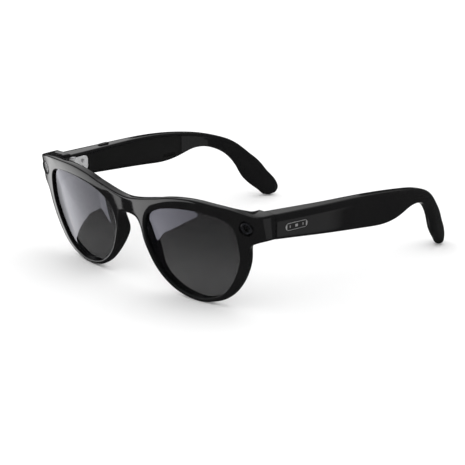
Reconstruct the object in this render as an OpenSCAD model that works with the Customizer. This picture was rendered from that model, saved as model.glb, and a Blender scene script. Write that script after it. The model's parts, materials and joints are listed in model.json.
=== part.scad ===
// Smart glasses: a one-piece front with two lenses, a camera and a recording light, and two
// folding temples that hold the battery, the boards, the speakers and the controls.
// Open and standing on the rims and the temple tips. The front looks along -Y, the wearer's
// left is +X, and the origin is under the middle of the whole object.

/* [Front] */
// Width over the two end pieces
front_w = 143.4; // [130:0.2:172]
// Width of a lens opening
lens_w = 51.3; // [42:0.1:58]
// Height of a lens opening
lens_h = 40; // [33:0.5:48]
// Distance between the two lens openings
bridge_gap = 19.4; // [16:0.1:24]
// Rim width below the lens
rim_w = 2; // [1.8:0.1:3]
// Rim width on the temple side
side_w = 4.2; // [3:0.1:6]
// Rim width on the nose side
nose_w = 2.5; // [2:0.1:3.2]
// Height of the brow above the lens
brow_w = 4.6; // [4.2:0.1:6]
// Thickness of the front from face to back
rim_t = 4.6; // [4.2:0.1:6]
// Radius of the face curve, seen from above
front_r = 272; // [160:1:400]
// Forward lean of the face
front_tilt = 8.7; // [4:0.1:12]
// Radius of the upright edge between the face and the side
corner_r = 5.5; // [3:0.1:7]
// Height of the bridge from its arch to its top
bridge_h = 7.3; // [6.4:0.1:10]
// How far the top of the bridge lies below the top of the brow
bridge_drop = 6.4; // [4:0.1:9]
// Height of an end piece
end_h = 11; // [10.6:0.1:14]
// How far an end piece's top lies below the top of the brow
end_drop = 2.4; // [1:0.1:5]
// Distance from the face at the side back to the temple seam
end_l = 10.87; // [9.3:0.01:16]
// How far a nose pad stands behind the rim
pad_depth = 4.6; // [3:0.1:8]
// Height of a nose pad
pad_h = 19; // [14:0.5:24]

/* [Lenses] */
// Thickness of a lens
lens_t = 2; // [1.4:0.1:2.4]
// Depth of the lens below the face
lens_set = 1.1; // [0.8:0.1:1.4]
// How far the groove holds the lens edge
lens_lip = 0.8; // [0.5:0.1:1]

/* [Temples] */
// Length of a temple from the seam to its end
temple_len = 129.4; // [110:0.1:160]
// Thickness of a temple behind the hinge
temple_t = 8; // [7:0.1:10]
// Height of the temple's top edge at the seam
temple_top = 43.3; // [40:0.1:46]
// Wall thickness of a temple shell
wall_t = 1.2; // [0.8:0.1:1.5]
// Thickness of the inner cover
cover_t = 1; // [0.8:0.1:1.4]
// Where the hollow of a temple starts, behind the seam
hollow_start = 12; // [12:0.5:16]
// Length of the hollow of a temple
hollow_len = 63; // [60:0.5:76]

/* [Hinges] */
// Radius of a hinge pin
pin_r = 0.8; // [0.6:0.05:1]
// Radius of a hinge knuckle
knuckle_r = 1.9; // [1.6:0.05:2.2]
// Height of the three knuckles together
hinge_h = 8; // [6.5:0.1:8.5]
// Length of the leaf on the front
front_leaf_l = 5; // [4:0.1:5.5]
// Length of the leaf on the temple
temple_leaf_l = 10; // [8:0.1:11]
// Thickness of a hinge leaf
leaf_t = 1; // [0.8:0.05:1.4]
// Radius of a hinge screw's head
screw_r = 0.9; // [0.6:0.05:1.1]

/* [Camera and light] */
// Outer radius of the camera's ring and of the light's ring
ring_r = 3.3; // [2.8:0.1:3.5]
// Width of a ring
ring_w = 0.7; // [0.5:0.1:1]
// Depth of the camera hole
camera_depth = 5; // [4.5:0.1:5.5]
// Height of the camera and the light above the table
camera_z = 39; // [37:0.1:40]

/* [Inside the temples] */
// Length of the battery
battery_l = 36; // [24:0.5:40]
// Height of the battery
battery_h = 6.2; // [5:0.1:7]
// Thickness of the battery
battery_t = 3.8; // [2.5:0.1:4.2]
// Length of the main board
board_l = 34; // [24:0.5:38]
// Height of a board
board_h = 5.4; // [4:0.1:5.8]
// Thickness of a board
board_t = 0.8; // [0.6:0.1:1]
// Length of a speaker
speaker_l = 14; // [10:0.5:15]
// Height of a speaker
speaker_h = 6.4; // [5:0.1:7]
// Thickness of a speaker
speaker_t = 3.4; // [2.4:0.1:3.8]

/* [Controls] */
// Length of the capture button
button_l = 6.4; // [5:0.1:8]
// Width of the capture button
button_w = 2.2; // [1.8:0.1:2.6]
// How far the capture button stands above the temple
button_proud = 0.6; // [0.5:0.05:1]
// Travel of the capture button
button_travel = 0.4; // [0.3:0.05:0.5]
// Length of the power switch's knob
knob_l = 2.6; // [2:0.1:3.4]
// Height of the power switch's knob
knob_h = 1.6; // [1.2:0.1:2.2]
// Travel of the power switch
switch_travel = 2; // [1.5:0.1:2.5]

/* [Fits] */
// Gap around a piece that is set into another
fit_gap = 0.05; // [0.03:0.01:0.1]
// Radial gap between a hinge pin and its bore
pin_gap = 0.04; // [0.02:0.01:0.08]
// Gap around a piece that moves
run_gap = 0.25; // [0.15:0.01:0.3]
// Gap between an end piece and the temple's front
seam_gap = 0.2; // [0.15:0.01:0.3]

/* [Hidden] */
$fn = 48;

// Heights of the front's landmarks.
brow_top = rim_w + lens_h + brow_w;
bridge_top = brow_top - bridge_drop;
arch_z = bridge_top - bridge_h;
end_top = brow_top - end_drop;
end_bottom = end_top - end_h;
half_w = front_w / 2;
end_inner_x = half_w - 10.5;
back_depth = 60;
tall = 120;
seam_y = (front_r - sqrt(front_r * front_r - half_w * half_w)) / cos(front_tilt) + end_l;

// The lens opening in per cent of its width and height, from the nose side over the top.
LENS_SHAPE = [
  [0, 62], [4, 80], [17, 91], [34, 97], [56, 100], [76, 99.3], [90, 96], [97.5, 86],
  [100, 64], [97, 46], [89, 26], [77, 9.5], [60, 1], [49, 0], [37, 2.5], [27, 7.5],
  [18, 15.5], [10.5, 26], [5, 39], [1.3, 51]
];
// The temple from the side, in per cent of its length and of its top height: over the top
// edge to the rounded end, and back along the underside.
TEMPLE_SIDE = [
  [0, 100], [9.2, 99], [23.5, 97.6], [38.9, 96.3], [51.6, 93.4], [61.5, 89.4],
  [69.8, 84.8], [78.2, 76.8], [85.6, 63], [91.3, 47.4], [95.4, 31.7], [99, 18],
  [100, 9.5], [98.7, 2.5], [96.1, 0], [93.6, 2.6], [90.9, 9], [88.8, 14.4], [86.8, 22.2],
  [84.8, 34.2], [82.6, 45.2], [79.7, 55.2], [74.4, 65], [69.1, 69.8], [64.4, 70.2],
  [59.5, 67], [55.6, 63], [51.6, 61], [45.6, 62.3], [28.6, 67], [13.3, 71.8], [0, 76]
];
// The temple from above: per cent of its length, how far its outer face lies outside the
// end piece, and how much thicker than temple_t it is there.
TEMPLE_PLAN = [
  [0, 0, 2.3], [12.3, 1.4, 1.6], [27.6, 2.8, 0.2], [46, 3.8, -0.6], [61.3, 2.9, -0.9],
  [75.7, -1.5, -1.3], [90, -8.6, -1.9], [104, -17, -2.8]
];

// A smooth curve through a list of points, closed or open, with n steps between points.
function blend(a, b, c, d, t) =
  b + t * (c - a) / 2 + t * t * (a - 2.5 * b + 2 * c - d / 2)
  + t * t * t * (1.5 * (b - c) + (d - a) / 2);
function closed_curve(p, n) = [
  for (i = [0 : len(p) - 1], j = [0 : n - 1])
    blend(p[(i + len(p) - 1) % len(p)], p[i], p[(i + 1) % len(p)], p[(i + 2) % len(p)], j / n)
];
function open_curve(p, n) = concat(
  [for (i = [0 : len(p) - 2], j = [0 : n - 1])
    blend(p[max(i - 1, 0)], p[i], p[i + 1], p[min(i + 2, len(p) - 1)], j / n)],
  [p[len(p) - 1]]
);

// The lens opening, and the same outline moved outwards.
lens_curve = [
  for (p = closed_curve(LENS_SHAPE, 4))
    [bridge_gap / 2 + p[0] * lens_w / 100, rim_w + p[1] * lens_h / 100]
];
function along_curve(c, i) =
  let (d = c[(i + 1) % len(c)] - c[(i + len(c) - 1) % len(c)]) d / norm(d);
function outward(c, i) = let (d = along_curve(c, i)) [-d[1], d[0]];
function rim_width(n) =
  rim_w + (brow_w - rim_w) * pow(max(0, n[1]), 2) + (side_w - rim_w) * pow(max(0, n[0]), 2)
  + (nose_w - rim_w) * pow(max(0, -n[0]), 2);
function lens_grown(d) = [for (i = [0 : len(lens_curve) - 1])
  lens_curve[i] + d * outward(lens_curve, i)];
function rim_curve(inset) = [for (i = [0 : len(lens_curve) - 1])
  let (n = outward(lens_curve, i)) lens_curve[i] + (rim_width(n) - inset) * n];

// The temple's faces at a distance s behind the seam.
temple_y0 = seam_y + seam_gap;
out_table = open_curve([for (p = TEMPLE_PLAN) [p[0], p[1]]], 6);
thick_table = open_curve([for (p = TEMPLE_PLAN) [p[0], p[2]]], 6);
function out_x(s) = half_w + lookup(100 * s / temple_len, out_table);
function in_x(s) = out_x(s) - temple_t - lookup(100 * s / temple_len, thick_table);
function inside_x(s) = (in_x(s) + cover_t + out_x(s) - wall_t) / 2;
side_curve = [
  for (p = open_curve(TEMPLE_SIDE, 4))
    [temple_y0 + p[0] * temple_len / 100, p[1] * temple_top / 100]
];
// Heights of the top edge and of the underside, over the length of the hollow.
function first_half(c) = [for (i = [0 : floor(len(c) * 9 / 31)]) c[i]];
function under_half(c) = [for (i = [len(c) - 1 : -1 : floor(len(c) * 25 / 31)]) c[i]];
function top_z(s) = lookup(temple_y0 + s, first_half(side_curve));
function under_z(s) = lookup(temple_y0 + s, under_half(side_curve));

// Depth of the face at a place on the front, and the middle of the whole object.
face_ref_z = 45;
function face_y(x, z) =
  (front_r - sqrt(front_r * front_r - x * x)) / cos(front_tilt)
  + (face_ref_z - z) * tan(front_tilt);
row_y = -(face_y(0, bridge_top) + temple_y0 + temple_len) / 2;

// The hinge: a vertical axis at the inner side of the seam.
hinge_x = end_inner_x - 0.2;
hinge_y = seam_y + 0.9;
hinge_z = end_bottom + 0.7;
knuckle_gap = 0.1;
leaf_edge = 0.3;
room_gap = 0.2;
pin_head_h = 0.5;
screw_head_h = 0.4;
screw_l = 1.4;
leaf_z0 = hinge_z + hinge_h / 2 - hinge_h * 0.18;
leaf_z1 = hinge_z + hinge_h / 2 + hinge_h * 0.18;
hinge_slope = atan((in_x(10) - in_x(0)) / 10);

// Places of the pieces inside, behind the seam and above the table.
light_x = half_w - 6.2;
part_s0 = hollow_start + 1.2;
microphone_places = [16, 54];
microphone_h = 0.8;
microphone_lift = 0.25;
microphone_top = under_z(microphone_places[0]) + wall_t + microphone_lift + microphone_h;
battery_s = part_s0 + battery_l / 2;
battery_z = (microphone_top + top_z(part_s0 + battery_l) - wall_t) / 2;
small_board_l = 8;
small_board_s = part_s0 + battery_l + 1 + small_board_l / 2;
board_s = part_s0 + board_l / 2;
speaker_s = hollow_start + hollow_len - 1 - speaker_l / 2;
speaker_z = (under_z(speaker_s) + top_z(speaker_s)) / 2 + 0.4;
mesh_l = 8;
mesh_h = 1.6;
mesh_z = under_z(speaker_s) + wall_t + 1.8;
button_s = 26;
button_z = top_z(button_s);
flange_w = 0.4;
flange_t = 0.5;
flange_gap = 0.1;
capture_h = 0.7;
capture_z = button_z - wall_t - 2 * flange_gap - flange_t - button_travel - capture_h / 2;
board_z = (microphone_top + capture_z - capture_h / 2) / 2;
can_t = 1.6;
board_x = (can_t + board_t) / 2;
switch_s = hollow_start + 7;
switch_z = top_z(switch_s + switch_travel) - wall_t - knob_h / 2 - 0.45;
tab_t = 0.4;
tab_gap = 0.2;
tab_edge = 0.3;
badge_s = 11;
badge_l = 12;
badge_h = 3.2;
badge_t = 0.4;
port_r = 0.4;
contact_x = 2.6;
contact_r = 0.75;
contact_l = 1.4;
flex_depth = 2.3;
flex_t = 0.3;
brow_cover_t = 1;
channel_margin = lens_lip + 0.7;
ring_depth = 1.6;
window_set = 0.3;
window_t = 0.9;
camera_front = 2.5;
camera_step = 3.6;
guide_back = 4.1;

module at_row() {
  translate([0, row_y, 0]) children();
}
module on_side(side) {
  at_row() {
    if (side > 0) children();
    else mirror([1, 0, 0]) children();
  }
}
module both_sides() {
  for (side = [1, -1]) on_side(side) children();
}
// A flat outline in X and Z drawn out along Y, and one in Y and Z drawn out along X.
module along_y(y0, y1) {
  translate([0, y1, 0]) rotate([90, 0, 0]) linear_extrude(y1 - y0) children();
}
module along_x(x0, x1) {
  translate([x0, 0, 0]) rotate([90, 0, 90]) linear_extrude(x1 - x0) children();
}
// Upright shapes that lean with the face.
module leaning() {
  translate([0, 0, face_ref_z]) rotate([front_tilt, 0, 0]) children();
}
// Everything behind the face and deeper than a given depth.
module behind_face(depth) {
  leaning() translate([0, front_r, -tall / 2]) cylinder(r = front_r - depth, h = tall, $fn = 720);
}
// A flat outline made into a curved sheet between two depths behind the face.
module face_sheet(depth0, depth1) {
  difference() {
    intersection() {
      along_y(-5, back_depth) children();
      behind_face(depth0);
    }
    behind_face(depth1);
  }
}

// ---- Front ----

module bridge_shape() {
  half = bridge_gap / 2;
  over = open_curve([[0, bridge_top], [half * 0.35, bridge_top + 0.3],
    [half * 1.05, bridge_top + 1.1], [half * 1.6, brow_top - 4],
    [half * 2, brow_top - 3.6]], 4);
  under = open_curve([[half - nose_w, rim_w + 0.6 * lens_h],
    [half - nose_w - 0.7, arch_z - 2.4], [half * 0.48, arch_z - 0.7],
    [half * 0.18, arch_z - 0.05], [0, arch_z]], 4);
  polygon(concat(over, [[half + 4, rim_w + 0.62 * lens_h]], under));
}
module end_shape() {
  rim_x = bridge_gap / 2 + lens_w;
  over = open_curve([[rim_x - 13, brow_top - 1], [rim_x - 7, brow_top - 0.6],
    [rim_x - 1, brow_top - 0.9], [rim_x + 3, brow_top - 1.5], [half_w, end_top]], 4);
  under = open_curve([[half_w, end_bottom], [half_w - 2.2, end_bottom - 0.4],
    [half_w - 4.4, end_bottom - 2.2], [rim_x + side_w - 0.5, rim_w + 0.62 * lens_h]], 4);
  polygon(concat(over, under, [[rim_x - 1, rim_w + 0.6 * lens_h], [rim_x - 13, brow_top - 3]]));
}
module half_front_shape() {
  polygon(rim_curve(0));
  bridge_shape();
  end_shape();
}
module front_shape() {
  half_front_shape();
  mirror([1, 0]) half_front_shape();
}
// What is left outside the rounded upright edge between the face and a side.
module corner_waste() {
  centre_x = half_w - corner_r;
  turn = asin(centre_x / (front_r - corner_r));
  centre_y = front_r - (front_r - corner_r) * cos(turn);
  reach = 3 * corner_r;
  leaning() translate([0, 0, -tall / 2]) linear_extrude(tall) difference() {
    translate([centre_x, centre_y]) polygon([[0, 0], [reach * sin(turn), -reach * cos(turn)],
      [reach, -reach], [reach, 0]]);
    translate([centre_x, centre_y]) circle(corner_r, $fn = 64);
  }
}
module front_body() {
  difference() {
    intersection() {
      along_y(-5, seam_y) front_shape();
      behind_face(0);
    }
    difference() {
      behind_face(rim_t);
      for (side = [1, -1])
        translate([side > 0 ? end_inner_x : -end_inner_x - 20, -5, end_bottom - 3])
          cube([20, seam_y + 5, end_h + 6]);
    }
    corner_waste();
    mirror([1, 0, 0]) corner_waste();
  }
}
// A nose pad: the nose side of the rim, carried back and rounded off.
module nose_pad() {
  pad_z = rim_w + 0.46 * lens_h;
  start = face_y(bridge_gap / 2, pad_z) + rim_t / 2;
  back = face_y(bridge_gap / 2, pad_z) + rim_t + pad_depth;
  reach = back - start;
  round_r = (reach * reach + pad_h * pad_h / 4) / (2 * reach);
  intersection() {
    along_y(start, back + 1) intersection() {
      difference() {
        polygon(rim_curve(0));
        polygon(lens_grown(1));
      }
      translate([0, pad_z - pad_h / 2]) square([bridge_gap / 2 + 9, pad_h]);
    }
    translate([0, back - round_r, pad_z]) rotate([0, 90, 0]) cylinder(r = round_r, h = 40, $fn = 96);
  }
}
// The channel along the brow and over the bridge, seen from the front.
module flex_path() {
  bridge_z = arch_z + bridge_h / 2;
  module half_path() {
    intersection() {
      difference() {
        polygon(rim_curve(1));
        polygon(lens_grown(channel_margin));
      }
      translate([bridge_gap / 2 + 6, bridge_z - 1])
        square([light_x - ring_r - 0.1 - bridge_gap / 2 - 6, tall]);
    }
  }
  module half_bridge_path() {
    polygon([[0, bridge_z - 1], [bridge_gap / 2 - 1, bridge_z - 1],
      [bridge_gap / 2 + 2.6, bridge_z + 1], [bridge_gap / 2 + 7.3, brow_top - 6.4],
      [bridge_gap / 2 + 7.3, brow_top - 5], [bridge_gap / 2 + 2, bridge_z + 2.8],
      [bridge_gap / 2 - 1.6, bridge_z + 1], [0, bridge_z + 1]]);
  }
  half_path();
  half_bridge_path();
  mirror([1, 0]) half_path();
  mirror([1, 0]) half_bridge_path();
}
module lens_space(edge, depth0, depth1) {
  face_sheet(depth0, depth1) polygon(lens_grown(edge));
}
module camera_hole(r, depth) {
  translate([light_x, 0, camera_z]) rotate([-90, 0, 0])
    cylinder(r = r, h = face_y(light_x, camera_z) + depth, $fn = 120);
}
module front_cuts() {
  lens_space(0, -10, back_depth);
  lens_space(lens_lip, lens_set, lens_set + lens_t);
  camera_hole(ring_r + fit_gap, camera_depth);
  leaf_pocket();
}
module front_frame() {
  color("#101012") at_row() difference() {
    union() {
      front_body();
      nose_pad();
      mirror([1, 0, 0]) nose_pad();
    }
    front_cuts();
    mirror([1, 0, 0]) front_cuts();
    face_sheet(flex_depth, rim_t + 5) flex_path();
    contact_places() cylinder(r = contact_r + fit_gap, h = 4);
    translate([0, face_y(0, arch_z) + rim_t / 2, arch_z - 3]) cylinder(r = port_r, h = 6);
  }
}
// Local +Z of each place points out of the bridge's back face.
module contact_places() {
  contact_z = arch_z + 1.4;
  for (side = [1, -1])
    translate([side * contact_x, face_y(contact_x, contact_z) + rim_t - contact_l, contact_z])
      rotate([-90, 0, 0]) children();
}

module lens() {
  color("#2b2c30", 0.8)
    lens_space(lens_lip - fit_gap, lens_set + fit_gap, lens_set + lens_t - fit_gap);
}
module lens_left() {
  on_side(1) lens();
}
module lens_right() {
  on_side(-1) lens();
}
module brow_cover() {
  color("#131316") at_row() face_sheet(rim_t - brow_cover_t, rim_t)
    offset(delta = -fit_gap) flex_path();
}
module front_flex() {
  color("#c98b3a") at_row() face_sheet(flex_depth + fit_gap, flex_depth + fit_gap + flex_t)
    offset(delta = -0.25) flex_path();
}
module bridge_microphone() {
  color("silver") at_row()
    face_sheet(flex_depth + 2 * fit_gap + flex_t, rim_t - brow_cover_t - fit_gap)
      translate([-1.5, arch_z + bridge_h / 2 - 0.75]) square([3, 1.5]);
}
module charging_contacts() {
  color("#d8b25a") at_row() contact_places() cylinder(r = contact_r, h = contact_l);
}

// ---- Camera and recording light ----

module front_ring() {
  face_sheet(0, ring_depth) translate([light_x, camera_z]) difference() {
    circle(r = ring_r, $fn = 120);
    circle(r = ring_r - ring_w, $fn = 120);
  }
}
module front_window() {
  difference() {
    intersection() {
      camera_hole(ring_r - ring_w - fit_gap, camera_front);
      behind_face(window_set);
    }
    behind_face(window_set + window_t);
  }
}
module inside_hole(r, depth0, depth1) {
  translate([light_x, face_y(light_x, camera_z) + depth0, camera_z]) rotate([-90, 0, 0])
    cylinder(r = r, h = depth1 - depth0);
}
module camera_bezel() {
  color("#3a3b3f") on_side(1) front_ring();
}
module camera_window() {
  color("#08080a", 0.9) on_side(1) front_window();
}
module camera_module() {
  color("#1c1d20") on_side(1) {
    inside_hole(1.9, camera_front, camera_step);
    inside_hole(ring_r - 0.3, camera_step, camera_depth - fit_gap);
  }
}
module light_bezel() {
  color("#3a3b3f") on_side(-1) front_ring();
}
module light_window() {
  color("#151517", 0.9) on_side(-1) front_window();
}
module light_guide() {
  color("white", 0.7) on_side(-1) inside_hole(1.1, camera_front, guide_back);
}
module light_board() {
  color("#1f6b3a") on_side(-1) inside_hole(ring_r - 0.3, guide_back, camera_depth - fit_gap);
}

// ---- Hinges ----

module at_hinge() {
  translate([hinge_x, hinge_y, 0]) children();
}
module knuckle(z0, z1) {
  difference() {
    translate([0, 0, z0]) cylinder(r = knuckle_r, h = z1 - z0);
    pin_bore();
  }
}
module pin_bore() {
  translate([0, 0, hinge_z - 1]) cylinder(r = pin_r + pin_gap, h = hinge_h + 2);
}
// A leaf plate from the axis along +Y, its far corners rounded, grown on all sides.
module leaf_plate(length, grow) {
  start = knuckle_r + run_gap;
  round_r = hinge_h * 0.3;
  low = hinge_z + leaf_edge;
  high = hinge_z + hinge_h - leaf_edge;
  translate([-grow, 0, 0]) along_x(0, leaf_t + 2 * grow) intersection() {
    translate([start - grow, 0]) square([length, tall]);
    union() {
      translate([0, low - grow]) square([length - round_r, high - low + 2 * grow]);
      for (z = [low + round_r, high - round_r])
        translate([length - round_r, z]) circle(round_r + grow);
      translate([length - round_r, low + round_r])
        square([round_r + grow, high - low - 2 * round_r]);
    }
  }
}
module neck(z0, z1) {
  difference() {
    translate([0, 0, z0]) cube([leaf_t, knuckle_r + run_gap + 0.2, z1 - z0]);
    pin_bore();
  }
}
module screw_places(length) {
  for (z = [hinge_z + hinge_h * 0.3, hinge_z + hinge_h * 0.7])
    translate([leaf_t, length, z]) rotate([0, -90, 0]) children();
}
// A screw, its local origin on the plate's far face and its head towards +Z.
module screw() {
  translate([0, 0, leaf_t - screw_head_h]) cylinder(r = screw_r, h = screw_head_h);
  translate([0, 0, -screw_l]) cylinder(r = screw_r / 2, h = screw_l + leaf_t - screw_head_h);
}
module screw_hole() {
  translate([0, 0, leaf_t - screw_head_h - fit_gap]) cylinder(r = screw_r + fit_gap, h = 2);
  screw_bore(leaf_t);
}
module screw_bore(reach) {
  translate([0, 0, -screw_l - fit_gap])
    cylinder(r = screw_r / 2 + fit_gap, h = screw_l + fit_gap + reach);
}
front_screw_y = (knuckle_r + run_gap + front_leaf_l) / 2;
temple_screw_y = temple_leaf_l * 0.62;

module front_leaf() {
  mirror([0, 1, 0]) difference() {
    union() {
      leaf_plate(front_leaf_l, 0);
      neck(hinge_z + leaf_edge, leaf_z0 - knuckle_gap);
      neck(leaf_z1 + knuckle_gap, hinge_z + hinge_h - leaf_edge);
    }
    screw_places(front_screw_y) screw_hole();
  }
  knuckle(hinge_z, leaf_z0 - knuckle_gap);
  knuckle(leaf_z1 + knuckle_gap, hinge_z + hinge_h);
}
module temple_leaf() {
  knuckle(leaf_z0, leaf_z1);
  rotate([0, 0, -hinge_slope]) difference() {
    union() {
      leaf_plate(temple_leaf_l, 0);
      neck(leaf_z0, leaf_z1);
    }
    screw_places(temple_screw_y) screw_hole();
  }
}
// Room for the knuckles and the pin's head, in either wall.
module knuckle_room() {
  translate([0, 0, hinge_z - room_gap])
    cylinder(r = knuckle_r + run_gap, h = hinge_h + pin_head_h + 2 * room_gap);
}
// Room for a leaf and its neck along +Y, with its screws' bores.
module leaf_room(length, screw_y) {
  leaf_plate(length, fit_gap);
  translate([-2, 0, hinge_z - room_gap])
    cube([leaf_t + 2 + 2 * fit_gap, knuckle_r + run_gap + 2 * room_gap, hinge_h + 2 * room_gap]);
  screw_places(screw_y) screw_bore(0);
}
module leaf_pocket() {
  at_hinge() {
    knuckle_room();
    mirror([0, 1, 0]) leaf_room(front_leaf_l, front_screw_y);
  }
}
module temple_leaf_pocket() {
  at_hinge() {
    knuckle_room();
    rotate([0, 0, -hinge_slope]) leaf_room(temple_leaf_l, temple_screw_y);
  }
}
module pin() {
  translate([0, 0, hinge_z]) cylinder(r = pin_r, h = hinge_h);
  translate([0, 0, hinge_z + hinge_h]) cylinder(r = pin_r + 0.6, h = pin_head_h);
}
module hinge_front_leaf_left() {
  color("silver") on_side(1) at_hinge() front_leaf();
}
module hinge_front_leaf_right() {
  color("silver") on_side(-1) at_hinge() front_leaf();
}
module hinge_temple_leaf_left() {
  color("silver") on_side(1) at_hinge() temple_leaf();
}
module hinge_temple_leaf_right() {
  color("silver") on_side(-1) at_hinge() temple_leaf();
}
module hinge_pin_left() {
  color("#9a9da3") on_side(1) at_hinge() pin();
}
module hinge_pin_right() {
  color("#9a9da3") on_side(-1) at_hinge() pin();
}
module hinge_front_screws() {
  color("#8b8e94") both_sides() at_hinge()
    mirror([0, 1, 0]) screw_places(front_screw_y) screw();
}
module temple_screws() {
  color("#8b8e94") at_hinge() rotate([0, 0, -hinge_slope]) screw_places(temple_screw_y) screw();
}
module temple_screws_left() {
  on_side(1) temple_screws();
}
module temple_screws_right() {
  on_side(-1) temple_screws();
}

// ---- Temples ----

plan_steps = [for (i = [0 : 3 : 102]) i * temple_len / 100];
// The temple from above, between two insets from its inner and its outer face.
module temple_plan(inner_inset, outer_inset) {
  last = len(plan_steps) - 1;
  polygon(concat(
    [for (s = plan_steps) [out_x(s) - outer_inset, temple_y0 + s]],
    [for (i = [last : -1 : 0]) [in_x(plan_steps[i]) + inner_inset, temple_y0 + plan_steps[i]]]
  ));
}
module temple_body() {
  intersection() {
    along_x(0, half_w + 20) polygon(side_curve);
    linear_extrude(tall) temple_plan(0, 0);
  }
}
// The hollow seen from the side, smaller by an inset on all sides.
module hollow_shape(inset) {
  intersection() {
    offset(delta = -wall_t - inset) polygon(side_curve);
    translate([temple_y0 + hollow_start + inset, 0]) square([hollow_len - 2 * inset, tall]);
  }
}
module temple_hollow() {
  intersection() {
    along_x(0, half_w + 20) hollow_shape(0);
    linear_extrude(tall) temple_plan(-5, wall_t);
  }
}
module cover_body() {
  intersection() {
    along_x(0, half_w + 20) hollow_shape(fit_gap);
    linear_extrude(tall) cover_plan();
  }
}
module cover_plan() {
  last = len(plan_steps) - 1;
  polygon(concat(
    [for (s = plan_steps) [in_x(s) + cover_t, temple_y0 + s]],
    [for (i = [last : -1 : 0]) [in_x(plan_steps[i]), temple_y0 + plan_steps[i]]]
  ));
}
// Local frame inside the temple: X across, Y along, Z up.
module in_temple(s, z) {
  slope = atan((inside_x(s + 6) - inside_x(s - 6)) / 12);
  translate([inside_x(s), temple_y0 + s, z]) rotate([0, 0, -slope]) children();
}
// Local frame on the inner face of the cover, X pointing out of the cover towards the shell.
module on_cover(s, z) {
  slope = atan((in_x(s + 3) - in_x(s - 3)) / 6);
  translate([in_x(s), temple_y0 + s, z]) rotate([0, 0, -slope]) children();
}
module block(x, y, z) {
  translate([-x / 2, -y / 2, -z / 2]) cube([x, y, z]);
}
// A slot with round ends along Y, cut or filled along X.
module slot_x(x0, x1, length, height) {
  along_x(x0, x1) {
    translate([-(length - height) / 2, -height / 2]) square([length - height, height]);
    for (side = [1, -1]) translate([side * (length - height) / 2, 0]) circle(height / 2);
  }
}
module microphone_ports() {
  for (s = microphone_places)
    in_temple(s, under_z(s) - 2) cylinder(r = port_r, h = 2 + wall_t + 1);
}
module badge_slot(grow, top) {
  slope = atan((out_x(badge_s + 4) - out_x(badge_s - 4)) / 8);
  middle = (under_z(badge_s) + top_z(badge_s)) / 2;
  translate([out_x(badge_s), temple_y0 + badge_s, middle]) rotate([0, 0, -slope])
    slot_x(-badge_t - grow, top, badge_l + 2 * grow, badge_h + 2 * grow);
}
module temple_shell() {
  difference() {
    temple_body();
    temple_hollow();
    temple_leaf_pocket();
    microphone_ports();
    badge_slot(fit_gap, 1);
  }
}
module speaker_window() {
  on_cover(speaker_s, mesh_z)
    slot_x(-1, cover_t + 1, mesh_l + 2 * fit_gap, mesh_h + 2 * fit_gap);
}
module temple_cover() {
  difference() {
    cover_body();
    speaker_window();
  }
}
module speaker_mesh() {
  color("#2a2a2e") on_cover(speaker_s, mesh_z) slot_x(0.25, cover_t - 0.2, mesh_l, mesh_h);
}
module speaker() {
  color("#35363b") in_temple(speaker_s, speaker_z) block(speaker_t, speaker_l, speaker_h);
}
module microphones() {
  color("silver") for (s = microphone_places)
    in_temple(s, under_z(s) + wall_t + microphone_lift + microphone_h / 2)
      block(2.4, 3, microphone_h);
}
module antenna() {
  color("#c98b3a") in_temple(speaker_s, top_z(speaker_s) - wall_t - 1.2)
    block(speaker_t, speaker_l - 2, 0.4);
}
module badge() {
  color("#c8c9cc") badge_slot(0, 0);
}

// ---- Left temple ----

module switch_window() {
  on_cover(switch_s + switch_travel / 2, switch_z)
    slot_x(-1, cover_t + 1, knob_l + switch_travel + 2 * run_gap, knob_h + 2 * run_gap);
}
module temple_shell_left() {
  color("#101012") on_side(1) temple_shell();
}
module temple_cover_left() {
  color("#131316") on_side(1) difference() {
    temple_cover();
    switch_window();
  }
}
module battery() {
  color("#b9bcc2") on_side(1) in_temple(battery_s, battery_z) block(battery_t, battery_l, battery_h);
}
module battery_board() {
  color("#1f6b3a") on_side(1) in_temple(small_board_s, battery_z) block(board_t, small_board_l, board_h);
}
module speaker_left() {
  on_side(1) speaker();
}
module speaker_mesh_left() {
  on_side(1) speaker_mesh();
}
module microphones_left() {
  on_side(1) microphones();
}
module antenna_left() {
  on_side(1) antenna();
}
module badge_left() {
  on_side(1) badge();
}
module power_switch() {
  color("#3a3b3f") on_side(1) on_cover(switch_s, switch_z) {
    slot_x(-0.35, cover_t + tab_gap, knob_l, knob_h);
    translate([cover_t + tab_gap + tab_t / 2, 0, 0])
      block(tab_t, knob_l + 1, knob_h + 2 * tab_edge);
  }
}
module switch_base() {
  color("#1c1d20") on_side(1) on_cover(switch_s + switch_travel / 2, switch_z)
    translate([cover_t + 2 * tab_gap + tab_t + 0.3, 0, 0])
      block(0.6, knob_l + switch_travel + 0.8, knob_h + 2 * tab_edge);
}

// ---- Right temple ----

module button_outline(grow) {
  for (side = [1, -1])
    translate([0, side * (button_l - button_w) / 2]) circle(button_w / 2 + grow);
  translate([-button_w / 2 - grow, -(button_l - button_w) / 2])
    square([button_w + 2 * grow, button_l - button_w]);
}
module temple_shell_right() {
  color("#101012") on_side(-1) difference() {
    temple_shell();
    in_temple(button_s, button_z - wall_t - 1) linear_extrude(tall) button_outline(run_gap / 2);
  }
}
module temple_cover_right() {
  color("#131316") on_side(-1) temple_cover();
}
module main_board() {
  color("#1f6b3a") on_side(-1) in_temple(board_s, board_z)
    translate([board_x, 0, 0]) block(board_t, board_l, board_h);
}
module shield_can() {
  color("#a9acb2") on_side(-1) in_temple(board_s, board_z)
    block(can_t, board_l - 15, board_h - 0.8);
}
module touch_pad() {
  color("#c98b3a") on_side(-1) in_temple(board_s + 2, board_z)
    translate([board_x + board_t / 2 + 0.5, 0, 0]) block(0.3, board_l - 10, board_h - 0.4);
}
module speaker_right() {
  on_side(-1) speaker();
}
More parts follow.
